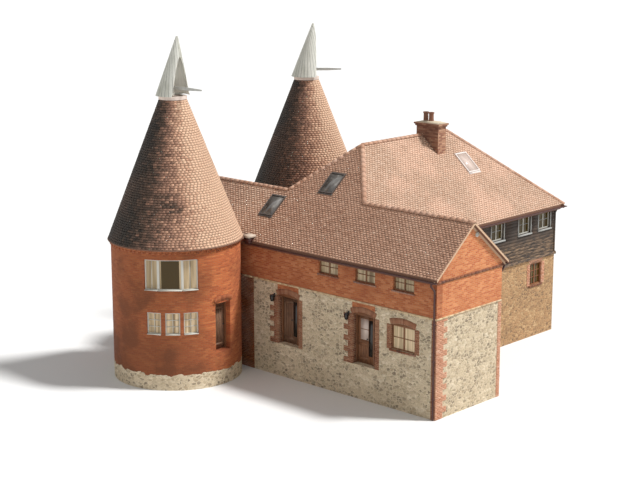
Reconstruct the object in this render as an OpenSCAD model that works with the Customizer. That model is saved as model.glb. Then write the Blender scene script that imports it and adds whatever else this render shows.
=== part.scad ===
// Oast house: two round kilns with turning cowls, a long gabled range and a hipped main block.
// All heights named _h are above the ground-floor level; the walls run down below it by plinth_h.

/* [Kilns] */
// Outer radius of a kiln's brick wall
kiln_r = 2670; // [2400:10:2900]
// Thickness of a kiln's brick wall
kiln_wall_t = 340; // [250:10:420]
// Height of the kilns' eaves
kiln_eave_h = 4390; // [4330:10:4600]
// How far the tiles of a kiln reach past its wall
kiln_overhang = 130; // [60:10:180]
// Outer radius of the conical roof at its open top
kiln_top_r = 580; // [520:10:700]
// Height of the conical roof from eaves to open top
kiln_roof_rise = 5720; // [5000:10:6200]
// Horizontal thickness of the conical roof
kiln_roof_t = 150; // [100:10:200]
// How much lower the rear kiln stands than the front one
rear_kiln_drop = 150; // [0:10:300]
// Distance from the front kiln's axis to the rear kiln's axis, away from the front
rear_kiln_dist = 9780; // [9300:10:10200]
// How deep the front kiln is let into the range's front wall
front_kiln_bedding = 225; // [150:5:260]
// How deep the rear kiln is let into the main block's side wall
rear_kiln_bedding = 120; // [60:10:200]
// Thickness of the kilns' floors
kiln_floor_t = 180; // [120:10:220]
// Height of the kilns' upper floor
kiln_floor_h = 2350; // [2250:10:2450]

/* [Cowls] */
// Outer radius of a cowl's foot
cowl_r = 700; // [640:10:760]
// Height of a cowl
cowl_rise = 2400; // [2100:10:2700]
// How far a cowl's tip leans towards its mouth
cowl_lean = 300; // [200:10:340]
// Distance of the cowl's mouth from its axis
cowl_mouth = 440; // [400:10:500]
// Thickness of the cowl's boards
cowl_t = 25; // [18:1:35]
// Radius of the spindle that a cowl turns on
spindle_r = 45; // [35:1:60]
// Radial play between the spindle and its bearing
spindle_play = 1; // [0.5:0.1:2]
// Depth of the bearing beam below the open top of the roof
bearing_drop = 900; // [700:10:1100]
// Height of the curb ring round the open top
curb_rise = 120; // [80:10:160]
// Gap between the curb and the turning cowl
cowl_gap = 20; // [10:1:40]
// Length of the vane board from the cowl's axis
vane_len = 1600; // [1300:10:1800]
// Height of the vane board's middle above the curb
vane_h = 330; // [250:10:450]
// Depth of the vane board
vane_d = 120; // [80:10:160]
// Thickness of the vane board
vane_t = 30; // [20:1:45]
// Direction that the front kiln's cowl faces, counted from the range's length
cowl_1_az = 5; // [-180:1:180]
// Direction that the rear kiln's cowl faces
cowl_2_az = 45; // [-180:1:180]

/* [Range] */
// Distance from the front kiln's axis to the gable's face
gable_x = 11850; // [11400:10:12400]
// Distance from the front kiln's axis to the outer face of the range's hidden end
range_end_x = 2400; // [2100:10:2550]
// Depth of the range from front face to rear face
range_d = 4070; // [3900:10:4300]
// Thickness of the masonry walls
wall_t = 340; // [250:10:420]
// Height of the range's eaves, at the tiles' upper edge
range_eave_h = 4170; // [4150:10:4300]
// How far the tiles reach past the long walls
eave_overhang = 205; // [150:5:260]
// How far the tiles reach past the gables
verge_overhang = 170; // [80:10:220]
// Pitch of the range's roof
range_pitch = 39.8; // [37:0.1:42]
// Thickness of the roof, square to its slope
roof_t = 160; // [120:10:200]
// How far the walls run down below the ground floor
plinth_h = 1400; // [900:10:1800]
// Height where the stone of the range ends and its brick begins
stone_h = 2540; // [2450:10:2600]

/* [Main block] */
// Distance from the front kiln's axis to the main block's ridge
ridge_x = 4290; // [4250:10:4400]
// Half of the main block's width, to its walls' outer faces
main_half_w = 3570; // [3500:10:3650]
// How far its tiles reach past its walls
main_overhang = 275; // [200:5:300]
// Length of its side walls past the range
main_len = 9490; // [9300:10:9700]
// Height of its ridge
main_ridge_h = 7930; // [7800:10:8050]
// Pitch of its roof
main_pitch = 41.5; // [40:0.1:43]
// Thickness of its boarded upper walls
board_wall_t = 220; // [160:10:300]
// Height of the ledge where masonry ends and boarding begins
ledge_h = 2200; // [2150:10:2300]
// How far the ledge stands out
ledge_out = 70; // [40:5:100]
// Height of the ledge
ledge_rise = 60; // [40:5:80]

/* [Floors] */
// Thickness of the ground floor
ground_floor_t = 150; // [100:10:200]
// Height of the upper floor
upper_floor_h = 2600; // [2560:10:2650]
// Thickness of the upper floor
upper_floor_t = 200; // [150:10:250]

/* [Doors] */
// Height of the doorways
door_h = 2050; // [1950:10:2100]
// Width of the doorways in the range
range_door_w = 1200; // [1100:10:1300]
// Width of the kiln's doorway
kiln_door_w = 860; // [820:10:900]
// Distance from the front kiln's axis to the left side of the first range doorway
door_1_x = 3480; // [3300:10:3600]
// The same for the second range doorway
door_2_x = 7610; // [7500:10:7750]
// Direction that the kiln's door faces, counted from the range's length
kiln_door_az = 3; // [0:1:6]
// Width of a door frame's members
jamb_w = 60; // [50:1:75]
// Depth of a door frame
jamb_d = 100; // [80:1:120]
// Thickness of a door leaf
leaf_t = 45; // [38:1:50]
// Clearance round a door leaf
leaf_gap = 8; // [6:1:12]
// Width of the glazed side light beside a range door
side_light_w = 190; // [150:10:230]
// Radius of the hinge pins
hinge_pin_r = 8; // [6:0.5:10]
// Height of a hinge's knuckle and strap
hinge_h = 50; // [40:1:60]
// Length of a strap hinge
strap_len = 420; // [300:10:480]

/* [Windows] */
// Width of a window frame's members
frame_w = 50; // [40:1:60]
// Depth of a window frame
frame_d = 80; // [60:1:100]
// How far a window frame stands back from the wall's face
frame_set = 70; // [40:5:100]
// Thickness of the glass
glass_t = 12; // [8:1:16]
// Distance from the range's eaves down to the heads of its upper windows
range_head_drop = 160; // [150:5:220]
// Height of the upper windows in the range
range_win_h = 630; // [520:10:700]
// Width of the upper windows in the range
range_win_w = 1040; // [900:10:1100]
// Height of the sills of the ground-floor windows
ground_sill_h = 1010; // [900:10:1100]
// Height of the heads of the ground-floor windows
ground_head_h = 2000; // [1950:10:2050]
// Width of the ground-floor window in the range
ground_win_w = 1190; // [1100:10:1250]
// Distance from the main block's eaves down to the heads of its upper windows
main_head_drop = 200; // [180:5:260]
// Height of the upper windows in the main block
main_win_h = 830; // [760:10:900]
// Width of the windows in the main block
main_win_w = 900; // [800:10:960]
// Distance from the kilns' eaves down to the head of the wide upper window
kiln_head_drop = 380; // [320:10:440]
// Height of the kiln's wide upper window
kiln_win_h = 1260; // [1100:10:1320]
// Height of the sills of the kiln's lower lights
kiln_sill_1_h = 930; // [880:10:980]
// Height of the heads of the kiln's lower lights
kiln_head_1_h = 1840; // [1800:10:1900]
// Width of each lower light in the kiln
kiln_light_w = 600; // [520:10:620]

/* [Chimney] */
// How far the chimney's near end stands past the main ridge
chimney_off = 930; // [800:10:1000]
// Distance of the chimney's middle from the range's front face
chimney_y = 8510; // [8300:10:8700]
// Breadth of the chimney across the main ridge
chimney_w = 1220; // [1100:10:1300]
// Thickness of the chimney along the main ridge
chimney_d = 540; // [480:10:600]
// Height of the chimney's top
chimney_h = 8450; // [8300:10:8600]
// Height of each projecting course at the chimney's top
cap_rise = 75; // [60:5:90]
// How far each projecting course stands out
cap_out = 45; // [30:5:60]
// Height of the pot above the chimney
pot_rise = 450; // [350:10:550]
// Radius of the pot's body
pot_r = 110; // [90:5:130]

/* [Roof windows] */
// Width of a roof window
roof_win_w = 780; // [700:10:860]
// Length of a roof window up the slope
roof_win_l = 1100; // [980:10:1200]
// How far a roof window stands out of the tiles
roof_win_out = 60; // [40:5:90]

/* [Tile edges] */
// Height of the double course of tiles at a kiln's eaves
tile_lip = 40; // [30:5:60]
// How far that course stands out of the bed of the tiles above it
tile_out = 22; // [15:1:30]
// Thickness of the tiles and battens where they reach past a gable
verge_t = 70; // [50:5:100]

/* [Rainwater] */
// Radius of the gutters
gutter_r = 55; // [45:1:65]
// Radius of the downpipes
pipe_r = 38; // [30:1:45]

/* [Hidden] */
round_fn = 240;
small_fn = 32;
// Heights that cut right through every wall
sky = 16000;
// A cut reaches this far past a face
past = 50;
// A piece that rests on another lies this far from it
rest_gap = 0.3;
// The same gap at a kiln's outer face, as an angle
rest_az = rest_gap / kiln_r * 180 / PI;

kiln_eave_r = kiln_r + kiln_overhang;
kiln_slope = kiln_roof_rise / (kiln_eave_r - kiln_top_r);
kiln_in_r = kiln_r - kiln_wall_t;

// Plan of the range: the front kiln's axis is at [0, 0] and the range runs along x
front_y = kiln_r - front_kiln_bedding;
rear_y = front_y + range_d;
range_ridge_y = (front_y + rear_y) / 2;
front_eave_y = front_y - eave_overhang;
rear_eave_y = rear_y + eave_overhang;
range_left = -range_end_x;
verge_left = range_left - verge_overhang;
verge_right = gable_x + verge_overhang;
range_slope = tan(range_pitch);
range_ridge_h = range_eave_h + (range_ridge_y - front_eave_y) * range_slope;

// Plan of the main block: its ridge runs along y
main_left = ridge_x - main_half_w;
main_right = ridge_x + main_half_w;
main_back = rear_y + main_len;
main_slope = tan(main_pitch);
main_eave_half = main_half_w + main_overhang;
main_eave_h = main_ridge_h - main_eave_half * main_slope;
hip_front_y = front_eave_y + (main_ridge_h - range_eave_h) / range_slope;
hip_back_y = main_back + main_overhang - main_eave_half;
hip_foot_off = (main_ridge_h - range_ridge_h) / main_slope;
valley_end_y = range_ridge_y + (range_ridge_h - main_eave_h) / range_slope;
range_head_h = range_eave_h - range_head_drop;
range_sill_h = range_head_h - range_win_h;
main_head_h = main_eave_h - main_head_drop;
main_sill_h = main_head_h - main_win_h;
kiln_head_2_h = kiln_eave_h - kiln_head_drop;
kiln_sill_2_h = kiln_head_2_h - kiln_win_h;
main_eave_back = main_back + main_overhang;

kiln_1_at = [0, 0];
kiln_2_at = [main_left - kiln_r + rear_kiln_bedding, rear_kiln_dist];

// The frame's origin is the middle of the whole plan, on the level that the walls stand on
x_low = kiln_2_at[0] - kiln_eave_r;
y_low = -kiln_eave_r;
y_high = main_eave_back + 2 * gutter_r;
function level(h) = h + plinth_h;

module placed() {
    translate([-(x_low + verge_right) / 2, -(y_low + y_high) / 2, 0]) children();
}

// Small shapes

// Box from one corner to the opposite one
module block(low, high) {
    translate(low) cube(high - low);
}

// Part of a round wall between two directions
module wall_arc(r_in, r_out, z0, z1, az0, az1) {
    rotate([0, 0, az0])
        rotate_extrude(angle = az1 - az0, $fn = round_fn)
            translate([r_in, z0]) square([r_out - r_in, z1 - z0]);
}

// Outer line of a kiln's roof from its eave up, from the eave's level and grown by out
function kiln_skin(out) = [
    [kiln_eave_r + out, -out], [kiln_eave_r + out - tile_lip / kiln_slope, tile_lip + out],
    [kiln_eave_r + out - tile_lip / kiln_slope - tile_out, tile_lip + out],
    [kiln_top_r + out - tile_out, kiln_roof_rise]
];

// Everything inside a kiln's outer surface, for cutting what adjoins it
module kiln_volume(drop) {
    wall_r = kiln_r + rest_gap;
    eave_z = level(kiln_eave_h - drop);
    rotate_extrude($fn = round_fn)
        polygon(concat(
            [[0, -past], [wall_r, -past], [wall_r, eave_z - rest_gap]],
            [for (p = kiln_skin(rest_gap)) p + [0, eave_z]],
            [[0, eave_z + kiln_roof_rise]]
        ));
}

module kiln_2_volume() {
    translate([kiln_2_at[0], kiln_2_at[1], 0]) kiln_volume(rear_kiln_drop);
}

// Slab of a sloping roof: it rises by slope along +y from [*, y0, h0] and is cut upright round plan
module slope_slab(plan, y0, h0, pitch, reach) {
    intersection() {
        linear_extrude(height = sky) polygon(plan);
        translate([0, y0, level(h0)]) rotate([pitch, 0, 0])
            translate([-reach, -2 * roof_t, -roof_t]) cube([2 * reach, reach, roof_t]);
    }
}

// Everything below the underside of the range's roof
module under_range_roof() {
    drop = roof_t / cos(range_pitch) + rest_gap;
    low = level(range_eave_h) - drop;
    translate([-sky, 0, 0]) rotate([90, 0, 90])
        linear_extrude(height = 2 * sky)
            polygon([
                [front_eave_y, -past], [front_eave_y, low],
                [range_ridge_y, level(range_ridge_h) - drop],
                [rear_eave_y, low], [rear_eave_y, -past]
            ]);
}

// Everything below the underside of the main block's side slopes
module under_main_roof() {
    drop = roof_t / cos(main_pitch) + rest_gap;
    low = level(main_eave_h) - drop;
    translate([0, sky + main_back, 0]) rotate([90, 0, 0])
        linear_extrude(height = 2 * sky)
            polygon([
                [ridge_x - main_eave_half, -past], [ridge_x - main_eave_half, low],
                [ridge_x, level(main_ridge_h) - drop],
                [ridge_x + main_eave_half, low], [ridge_x + main_eave_half, -past]
            ]);
}

// Windows: each is [middle, width, sill, head, lights] along its wall

// Their middles lie at shares of the wall's own length
range_window_at = [0.534, 0.698, 0.863];
main_window_at = [0.325, 0.536, 0.748, 0.908];
main_lower_at = [0.42, 0.849];
west_window_at = [0.736, 0.894];
west_lower_at = [0.815];
north_window_at = [-0.616, 0, 0.616];
north_lower_at = [-0.448, 0.448];

function window_row(middles, wide, sill, head) = [for (m = middles) [m, wide, sill, head, 2]];
function along_main(shares) = [for (s = shares) rear_y + s * main_len];
function along_north(shares) = [for (s = shares) ridge_x + s * main_half_w];
function upper_row(middles) = window_row(middles, main_win_w, main_sill_h, main_head_h);
function lower_row(middles) = window_row(middles, main_win_w, ground_sill_h, ground_head_h);

range_upper_windows =
    window_row(gable_x * range_window_at, range_win_w, range_sill_h, range_head_h);
range_ground_windows =
    window_row([gable_x * range_window_at[2]], ground_win_w, ground_sill_h, ground_head_h);
range_windows = concat(range_upper_windows, range_ground_windows);
east_windows = [upper_row(along_main(main_window_at)), lower_row(along_main(main_lower_at))];
north_windows = [upper_row(along_north(north_window_at)), lower_row(along_north(north_lower_at))];
west_windows = [upper_row(along_main(west_window_at)), lower_row(along_main(west_lower_at))];

// Openings of a list of windows, through a wall along +x whose outer face is at y = 0
module openings(list, depth) {
    for (w = list)
        block([w[0] - w[1] / 2, -past, level(w[2])], [w[0] + w[1] / 2, depth + past, level(w[3])]);
}

// The lights of a window from depth y0 to depth y1 in its wall, as solid boxes
module window_lights(w, y0, y1) {
    light = (w[1] - frame_w * (w[4] + 1)) / w[4];
    for (i = [0 : w[4] - 1]) {
        x = w[0] - w[1] / 2 + frame_w + i * (light + frame_w);
        block([x, y0, level(w[2]) + frame_w], [x + light, y1, level(w[3]) - frame_w]);
    }
}

// Frame with its lights cut through, standing in a wall along +x
module window_frame(w) {
    difference() {
        block([w[0] - w[1] / 2 + rest_gap, frame_set, level(w[2]) + rest_gap],
              [w[0] + w[1] / 2 - rest_gap, frame_set + frame_d, level(w[3]) - rest_gap]);
        window_lights(w, frame_set - past, frame_set + frame_d + past);
    }
}

module window_panes(w) {
    mid = frame_set + frame_d / 2;
    window_lights(w, mid - glass_t / 2, mid + glass_t / 2);
}

// The walls' own axes: along the wall is +x, into the building is +y
module on_front() { translate([0, front_y, 0]) children(); }
module on_east() { translate([main_right, 0, 0]) rotate([0, 0, 90]) children(); }
module on_north() { translate([0, main_back, 0]) mirror([0, 1, 0]) children(); }
module on_west() { translate([main_left, 0, 0]) mirror([1, -1, 0]) children(); }

// Directions of the front kiln's lower lights, and of the posts of its wide upper window
kiln_light_az = [-62.2, -45.5, -29.4];
kiln_window_az = [-70.2, -57.7, -36.3, -22.4];

module bow_opening() {
    wall_arc(kiln_in_r - past, kiln_r + past, level(kiln_sill_2_h), level(kiln_head_2_h),
             kiln_window_az[0], kiln_window_az[3]);
}

// Outward is -y and the kiln's axis is at y = kiln_r, as for the flat walls
module on_kiln_1(az) { rotate([0, 0, az + 90]) translate([0, -kiln_r, 0]) children(); }

// How far a chord of the kiln's outer face lies inside it, at half of the width
function sagitta(half) = kiln_r - sqrt(kiln_r * kiln_r - half * half);

// The wide window is one frame of three flat lights, mitred at its posts
bow_r = kiln_r - frame_set;
function bow_half(i) = (kiln_window_az[i + 1] - kiln_window_az[i]) / 2;
function bow_window(i) = [0, 2 * bow_r * sin(bow_half(i)), kiln_sill_2_h, kiln_head_2_h, 1];
function bow_az(i) = kiln_window_az[i] + (i == 0 ? rest_az : i == 3 ? -rest_az : 0);
function bow_points(r, order) = [for (i = order) r * [cos(bow_az(i)), sin(bow_az(i))]];

module on_bow_light(i) {
    on_kiln_1(kiln_window_az[i] + bow_half(i))
        translate([0, kiln_r - bow_r * cos(bow_half(i)) - frame_set, 0]) children();
}

module bow_frame() {
    difference() {
        translate([0, 0, level(kiln_sill_2_h) + rest_gap])
            linear_extrude(height = kiln_win_h - 2 * rest_gap)
                polygon(concat(bow_points(bow_r, [0 : 3]),
                               bow_points(bow_r - frame_d, [3 : -1 : 0])));
        for (i = [0 : 2]) on_bow_light(i)
            window_lights(bow_window(i), frame_set - past, frame_set + frame_d + past);
    }
}
kiln_lower_window = [0, kiln_light_w, kiln_sill_1_h, kiln_head_1_h, 1];

// Door sizes

kiln_door_y = kiln_r - sqrt(pow(kiln_in_r, 2) - pow(kiln_door_w / 2, 2));
function leaf_w(opening, side) = opening - 2 * jamb_w - 2 * leaf_gap - (side > 0 ? side + jamb_w : 0);

// A doorway's frame, leaf and hinges share these axes: x from the hinge side, y into the
// building from the wall's outer face, inner is the depth of the wall's inner face
knuckle_r = 14;
hinge_out = knuckle_r + 6;
bore_play = 0.4;
hinge_heights = [0.15 * door_h, 0.8 * door_h];

// Upright shaft through the front kiln's wall, as wide as its doorway
module kiln_doorway(z0, z1, gap = 0) {
    half = kiln_door_w / 2 - gap;
    on_kiln_1(kiln_door_az) block([-half, -kiln_r, z0], [half, kiln_r / 2, z1]);
}

module hinge_axis(inner) { translate([jamb_w, inner + hinge_out, 0]) children(); }

module door_frame(opening, inner, side) {
    difference() {
        block([rest_gap, inner - jamb_d, level(0)],
              [opening - rest_gap, inner, level(door_h) - rest_gap]);
        block([jamb_w, inner - jamb_d - past, level(0) - past],
              [opening - jamb_w - (side > 0 ? side + jamb_w : 0), inner + past,
               level(door_h) - jamb_w]);
        if (side > 0)
            block([opening - jamb_w - side, inner - jamb_d - past, level(0) + jamb_w],
                  [opening - jamb_w, inner + past, level(door_h) - jamb_w]);
    }
    for (h = hinge_heights)
        hinge_axis(inner) translate([0, 0, level(h) - knuckle_r]) {
            cylinder(r = knuckle_r, h = knuckle_r - rest_gap, $fn = small_fn);
            cylinder(r = hinge_pin_r, h = hinge_h + 1.5 * knuckle_r, $fn = small_fn);
            block([-jamb_w + 10, -hinge_out, 0], [0, 0, knuckle_r - rest_gap]);
        }
}

module door_leaf(opening, inner, side) {
    w = leaf_w(opening, side);
    difference() {
        union() {
            block([jamb_w + leaf_gap, inner - leaf_t, level(0) + leaf_gap],
                  [jamb_w + leaf_gap + w, inner, level(door_h) - jamb_w - leaf_gap]);
            for (h = hinge_heights) {
                block([jamb_w + leaf_gap, inner, level(h)],
                      [jamb_w + strap_len, inner + hinge_out - knuckle_r / 2, level(h) + hinge_h]);
                hinge_axis(inner) translate([0, 0, level(h)])
                    cylinder(r = knuckle_r, h = hinge_h, $fn = small_fn);
            }
        }
        for (h = hinge_heights)
            hinge_axis(inner) translate([0, 0, level(h) - 1])
                cylinder(r = hinge_pin_r + bore_play, h = hinge_h + 2, $fn = small_fn);
    }
}

// Kiln 1 walls, from the door round to the back and to the windows
kiln_wall_top = level(kiln_eave_h) - rest_gap;
back_az = 150;
window_az = 275;

module kiln_1_window_wall() {
    color("firebrick") placed() difference() {
        wall_arc(kiln_in_r, kiln_r, 0, kiln_wall_top, window_az - 360, kiln_door_az);
        bow_opening();
        for (az = kiln_light_az) on_kiln_1(az) openings([kiln_lower_window], kiln_wall_t);
        kiln_doorway(-past, sky);
    }
}

module kiln_1_side_wall() {
    color("firebrick") placed() difference() {
        wall_arc(kiln_in_r, kiln_r, 0, kiln_wall_top, kiln_door_az, back_az - rest_az);
        kiln_doorway(-past, sky);
    }
}

module kiln_1_back_wall() {
    color("firebrick") placed()
        wall_arc(kiln_in_r, kiln_r, 0, kiln_wall_top, back_az, window_az - rest_az);
}

module kiln_1_door_head() {
    color("firebrick") placed() intersection() {
        wall_arc(kiln_in_r, kiln_r, level(door_h), kiln_wall_top,
                 kiln_door_az - 30, kiln_door_az + 30);
        kiln_doorway(0, sky, rest_gap);
    }
}

// Kiln 2 walls

module kiln_2_wall(az0, az1) {
    translate([kiln_2_at[0], kiln_2_at[1], 0])
        wall_arc(kiln_in_r, kiln_r, 0, kiln_wall_top - rear_kiln_drop, az0, az1 - rest_az);
}

module kiln_2_outer_wall() { color("firebrick") placed() kiln_2_wall(90, 270); }
module kiln_2_inner_wall() { color("firebrick") placed() kiln_2_wall(-90, 90); }

// Conical roofs and cowls

module kiln_roof(at, drop) {
    z0 = level(kiln_eave_h - drop);
    plate = kiln_wall_t / 2;
    color("rosybrown") placed() translate([at[0], at[1], z0])
        rotate_extrude($fn = round_fn)
            polygon(concat(
                [[kiln_r - plate, 0]], kiln_skin(0),
                [[kiln_top_r - kiln_roof_t, kiln_roof_rise],
                 [kiln_r - plate, (kiln_eave_r - kiln_roof_t - kiln_r + plate) * kiln_slope]]
            ));
}

module kiln_1_roof() { kiln_roof(kiln_1_at, 0); }
module kiln_2_roof() { kiln_roof(kiln_2_at, rear_kiln_drop); }

function roof_top(drop) = level(kiln_eave_h - drop) + kiln_roof_rise;
kiln_top_in_r = kiln_top_r - kiln_roof_t;
beam_w = 110;
beam_d = 120;
socket_d = 60;

// Curb ring, and the two beams that the spindle turns in
module kiln_curb(at, drop) {
    lower_r = kiln_top_in_r + bearing_drop / kiln_slope;
    translate([at[0], at[1], roof_top(drop)]) {
        difference() {
            cylinder(r = kiln_top_r, h = curb_rise, $fn = round_fn);
            translate([0, 0, -1]) cylinder(r = kiln_top_in_r, h = curb_rise + 2, $fn = round_fn);
        }
        difference() {
            intersection() {
                translate([-kiln_top_r, -beam_w / 2, 0]) cube([2 * kiln_top_r, beam_w, curb_rise]);
                cylinder(r = kiln_top_in_r + 5, h = curb_rise, $fn = round_fn);
            }
            translate([0, 0, -1])
                cylinder(r = spindle_r + spindle_play, h = curb_rise + 2, $fn = small_fn);
        }
        difference() {
            intersection() {
                translate([-sky / 2, -beam_w / 2, -bearing_drop]) cube([sky, beam_w, beam_d]);
                translate([0, 0, -bearing_drop])
                    cylinder(r1 = lower_r, r2 = lower_r - beam_d / kiln_slope, h = beam_d,
                             $fn = round_fn);
            }
            translate([0, 0, -bearing_drop + beam_d - socket_d])
                cylinder(r = spindle_r + spindle_play, h = socket_d + 1, $fn = small_fn);
        }
    }
}

module kiln_curbs() {
    color("white") placed() {
        kiln_curb(kiln_1_at, 0);
        kiln_curb(kiln_2_at, rear_kiln_drop);
    }
}

// Cowl in its own axes: it turns about z, its mouth faces +x, and z = 0 is the curb's top
module cowl_skin(inset) {
    tip_r = 45;
    hull() {
        cylinder(r = cowl_r - inset, h = 1, $fn = small_fn);
        translate([cowl_lean, 0, cowl_rise - inset - 1])
            cylinder(r = max(tip_r - inset, 4), h = 1, $fn = small_fn);
    }
}

module cowl_hood(at, drop, az) {
    spindle_low = -curb_rise - bearing_drop + beam_d - socket_d + rest_gap;
    brace_h = 60;
    color("white") placed() translate([at[0], at[1], roof_top(drop) + curb_rise]) rotate([0, 0, az]) {
        difference() {
            union() {
                translate([0, 0, cowl_gap]) difference() {
                    cowl_skin(0);
                    translate([0, 0, -1]) cowl_skin(cowl_t);
                    translate([cowl_mouth, -cowl_r, -past]) cube([cowl_r, 2 * cowl_r, cowl_rise]);
                }
                intersection() {
                    union() {
                        translate([0, 0, spindle_low])
                            cylinder(r = spindle_r, h = cowl_rise * 0.7 - spindle_low,
                                     $fn = small_fn);
                        translate([-cowl_r, -vane_t, cowl_gap + 10])
                            cube([cowl_r, 2 * vane_t, brace_h]);
                        translate([-vane_t, -cowl_r, cowl_gap + 10])
                            cube([2 * vane_t, 2 * cowl_r, brace_h]);
                    }
                    union() {
                        translate([0, 0, cowl_gap]) cowl_skin(cowl_t / 2);
                        translate([0, 0, spindle_low])
                            cylinder(r = spindle_r + 1, h = -spindle_low + past, $fn = small_fn);
                    }
                }
            }
            vane_slot();
        }
    }
}

// The slot that the vane board passes through the spindle in
module vane_slot() {
    translate([-spindle_r - 1, -vane_t / 2, vane_h - vane_d / 2])
        cube([2 * spindle_r + 2, vane_t, vane_d]);
}

module cowl_vane(at, drop, az) {
    color("white") placed() translate([at[0], at[1], roof_top(drop) + curb_rise]) rotate([0, 0, az])
        translate([0, vane_t / 2, vane_h]) rotate([90, 0, 0])
            linear_extrude(height = vane_t)
                polygon([
                    [-spindle_r - 20, -vane_d / 2], [vane_len * 0.6, -vane_d / 2],
                    [vane_len, -vane_d / 4], [vane_len, vane_d / 4],
                    [vane_len * 0.6, vane_d / 2], [-spindle_r - 20, vane_d / 2]
                ]);
}

module cowl_1_hood() { cowl_hood(kiln_1_at, 0, cowl_1_az); }
module cowl_1_vane() { cowl_vane(kiln_1_at, 0, cowl_1_az); }
module cowl_2_hood() { cowl_hood(kiln_2_at, rear_kiln_drop, cowl_2_az); }
module cowl_2_vane() { cowl_vane(kiln_2_at, rear_kiln_drop, cowl_2_az); }

// Floors

module kiln_floors() {
    color("burlywood") placed()
        for (k = [[kiln_1_at, 0], [kiln_2_at, rear_kiln_drop]], h = [0, kiln_floor_h])
            translate([k[0][0], k[0][1], level(h - (h > 0 ? k[1] : 0)) - kiln_floor_t])
                cylinder(r = kiln_in_r - rest_gap, h = kiln_floor_t, $fn = round_fn);
}

// One floor through the range and the main block
module long_floor(h, t, east_inner, north_inner, west_inner) {
    translate([0, 0, level(h) - t]) linear_extrude(height = t)
        polygon([
            [range_left + wall_t, front_y + wall_t], [gable_x - wall_t, front_y + wall_t],
            [gable_x - wall_t, rear_y - wall_t], [main_right - east_inner, rear_y - wall_t],
            [main_right - east_inner, main_back - north_inner],
            [main_left + west_inner, main_back - north_inner],
            [main_left + west_inner, rear_y - wall_t], [range_left + wall_t, rear_y - wall_t]
        ]);
}

module ground_floor() {
    color("burlywood") placed() long_floor(0, ground_floor_t, wall_t, wall_t, wall_t);
}

module upper_floor() {
    color("burlywood") placed()
        long_floor(upper_floor_h, upper_floor_t, board_wall_t, board_wall_t, board_wall_t);
}

// Range walls

module front_wall(x0, x1, z0, z1) {
    intersection() {
        difference() {
            block([x0, front_y, z0], [x1, front_y + wall_t, z1]);
            on_front() openings(range_windows, wall_t);
            kiln_volume(0);
        }
        under_range_roof();
    }
}

// The rubble stops at each doorway, so it is three solids
module front_wall_stone() {
    color("tan") placed() {
        front_wall(range_left, door_1_x, 0, level(stone_h));
        front_wall(door_1_x + range_door_w, door_2_x, 0, level(stone_h));
        front_wall(door_2_x + range_door_w, gable_x, 0, level(stone_h));
    }
}

module front_wall_brick() {
    color("indianred") placed() front_wall(range_left, gable_x, level(stone_h), sky);
}

module door_lintels() {
    color("indianred") placed() for (x = [door_1_x, door_2_x])
        front_wall(x, x + range_door_w, level(door_h), level(stone_h));
}

// Masonry under each doorway, up to the ground floor
module door_thresholds() {
    color("tan") placed() {
        for (x = [door_1_x, door_2_x])
            block([x, front_y, 0], [x + range_door_w, front_y + wall_t, level(0)]);
        intersection() {
            wall_arc(kiln_in_r, kiln_r, 0, level(0), kiln_door_az - 30, kiln_door_az + 30);
            kiln_doorway(0, sky, rest_gap);
        }
    }
}

module gable_part(z0, z1) {
    intersection() {
        block([gable_x - wall_t, front_y + wall_t, z0], [gable_x, rear_y, z1]);
        under_range_roof();
    }
}

module gable_stone() { color("tan") placed() gable_part(0, level(stone_h)); }
module gable_brick() { color("indianred") placed() gable_part(level(stone_h), sky); }

module range_back_walls() {
    color("tan") placed() intersection() {
        difference() {
            union() {
                block([range_left, front_y + wall_t, 0], [range_left + wall_t, rear_y, sky]);
                block([range_left, rear_y - wall_t, 0], [main_left, rear_y, sky]);
                block([main_right, rear_y - wall_t, 0], [gable_x - wall_t, rear_y, sky]);
            }
            kiln_volume(0);
            for (side = [-1, 1]) translate([0, 0, -rest_gap]) main_side_roof(side);
        }
        under_range_roof();
    }
}

// Main block walls

module main_side_wall(x0, x1) {
    intersection() {
        block([x0, rear_y - wall_t, 0], [x1, main_back, level(ledge_h)]);
        under_main_roof();
    }
}

// Where the roof's underside meets the outer face of the main block's walls
plate_h = main_eave_h + main_overhang * main_slope - roof_t / cos(main_pitch) - rest_gap;

module main_side_boards(x0, x1) {
    intersection() {
        block([x0, rear_y - wall_t, level(ledge_h)], [x1, main_back - board_wall_t, sky]);
        under_main_roof();
    }
    block([x0, main_back - board_wall_t, level(ledge_h)], [x1, main_back, level(plate_h)]);
}

// Drip ledge at the foot of the boards, along a wall from a to b and let into it by deep
module ledge(a, b, deep) {
    rotate([90, 0, 90]) translate([0, 0, a]) linear_extrude(height = b - a)
        polygon([
            [deep, level(ledge_h)], [deep, level(ledge_h) + (deep > 0 ? 2 : 2.5) * ledge_rise],
            [0, level(ledge_h) + 2.5 * ledge_rise],
            [-ledge_out, level(ledge_h) + ledge_rise], [-ledge_out, level(ledge_h)]
        ]);
}

module main_east_wall() {
    color("tan") placed() difference() {
        main_side_wall(main_right - wall_t, main_right);
        on_east() openings(east_windows[1], wall_t);
    }
}

module main_east_boards() {
    color("dimgray") placed() {
        difference() {
            union() {
                main_side_boards(main_right - board_wall_t, main_right);
                on_east() ledge(rear_y, main_back, board_wall_t / 2);
            }
            on_east() openings(east_windows[0], wall_t);
        }
    }
}

module main_west_wall() {
    color("tan") placed() difference() {
        main_side_wall(main_left, main_left + wall_t);
        on_west() openings(west_windows[1], wall_t);
        kiln_2_volume();
    }
}

module main_west_boards() {
    color("dimgray") placed() difference() {
        union() {
            main_side_boards(main_left, main_left + board_wall_t);
            on_west() ledge(rear_y, main_back, board_wall_t / 2);
        }
        on_west() openings(west_windows[0], wall_t);
        kiln_2_volume();
    }
}

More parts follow.
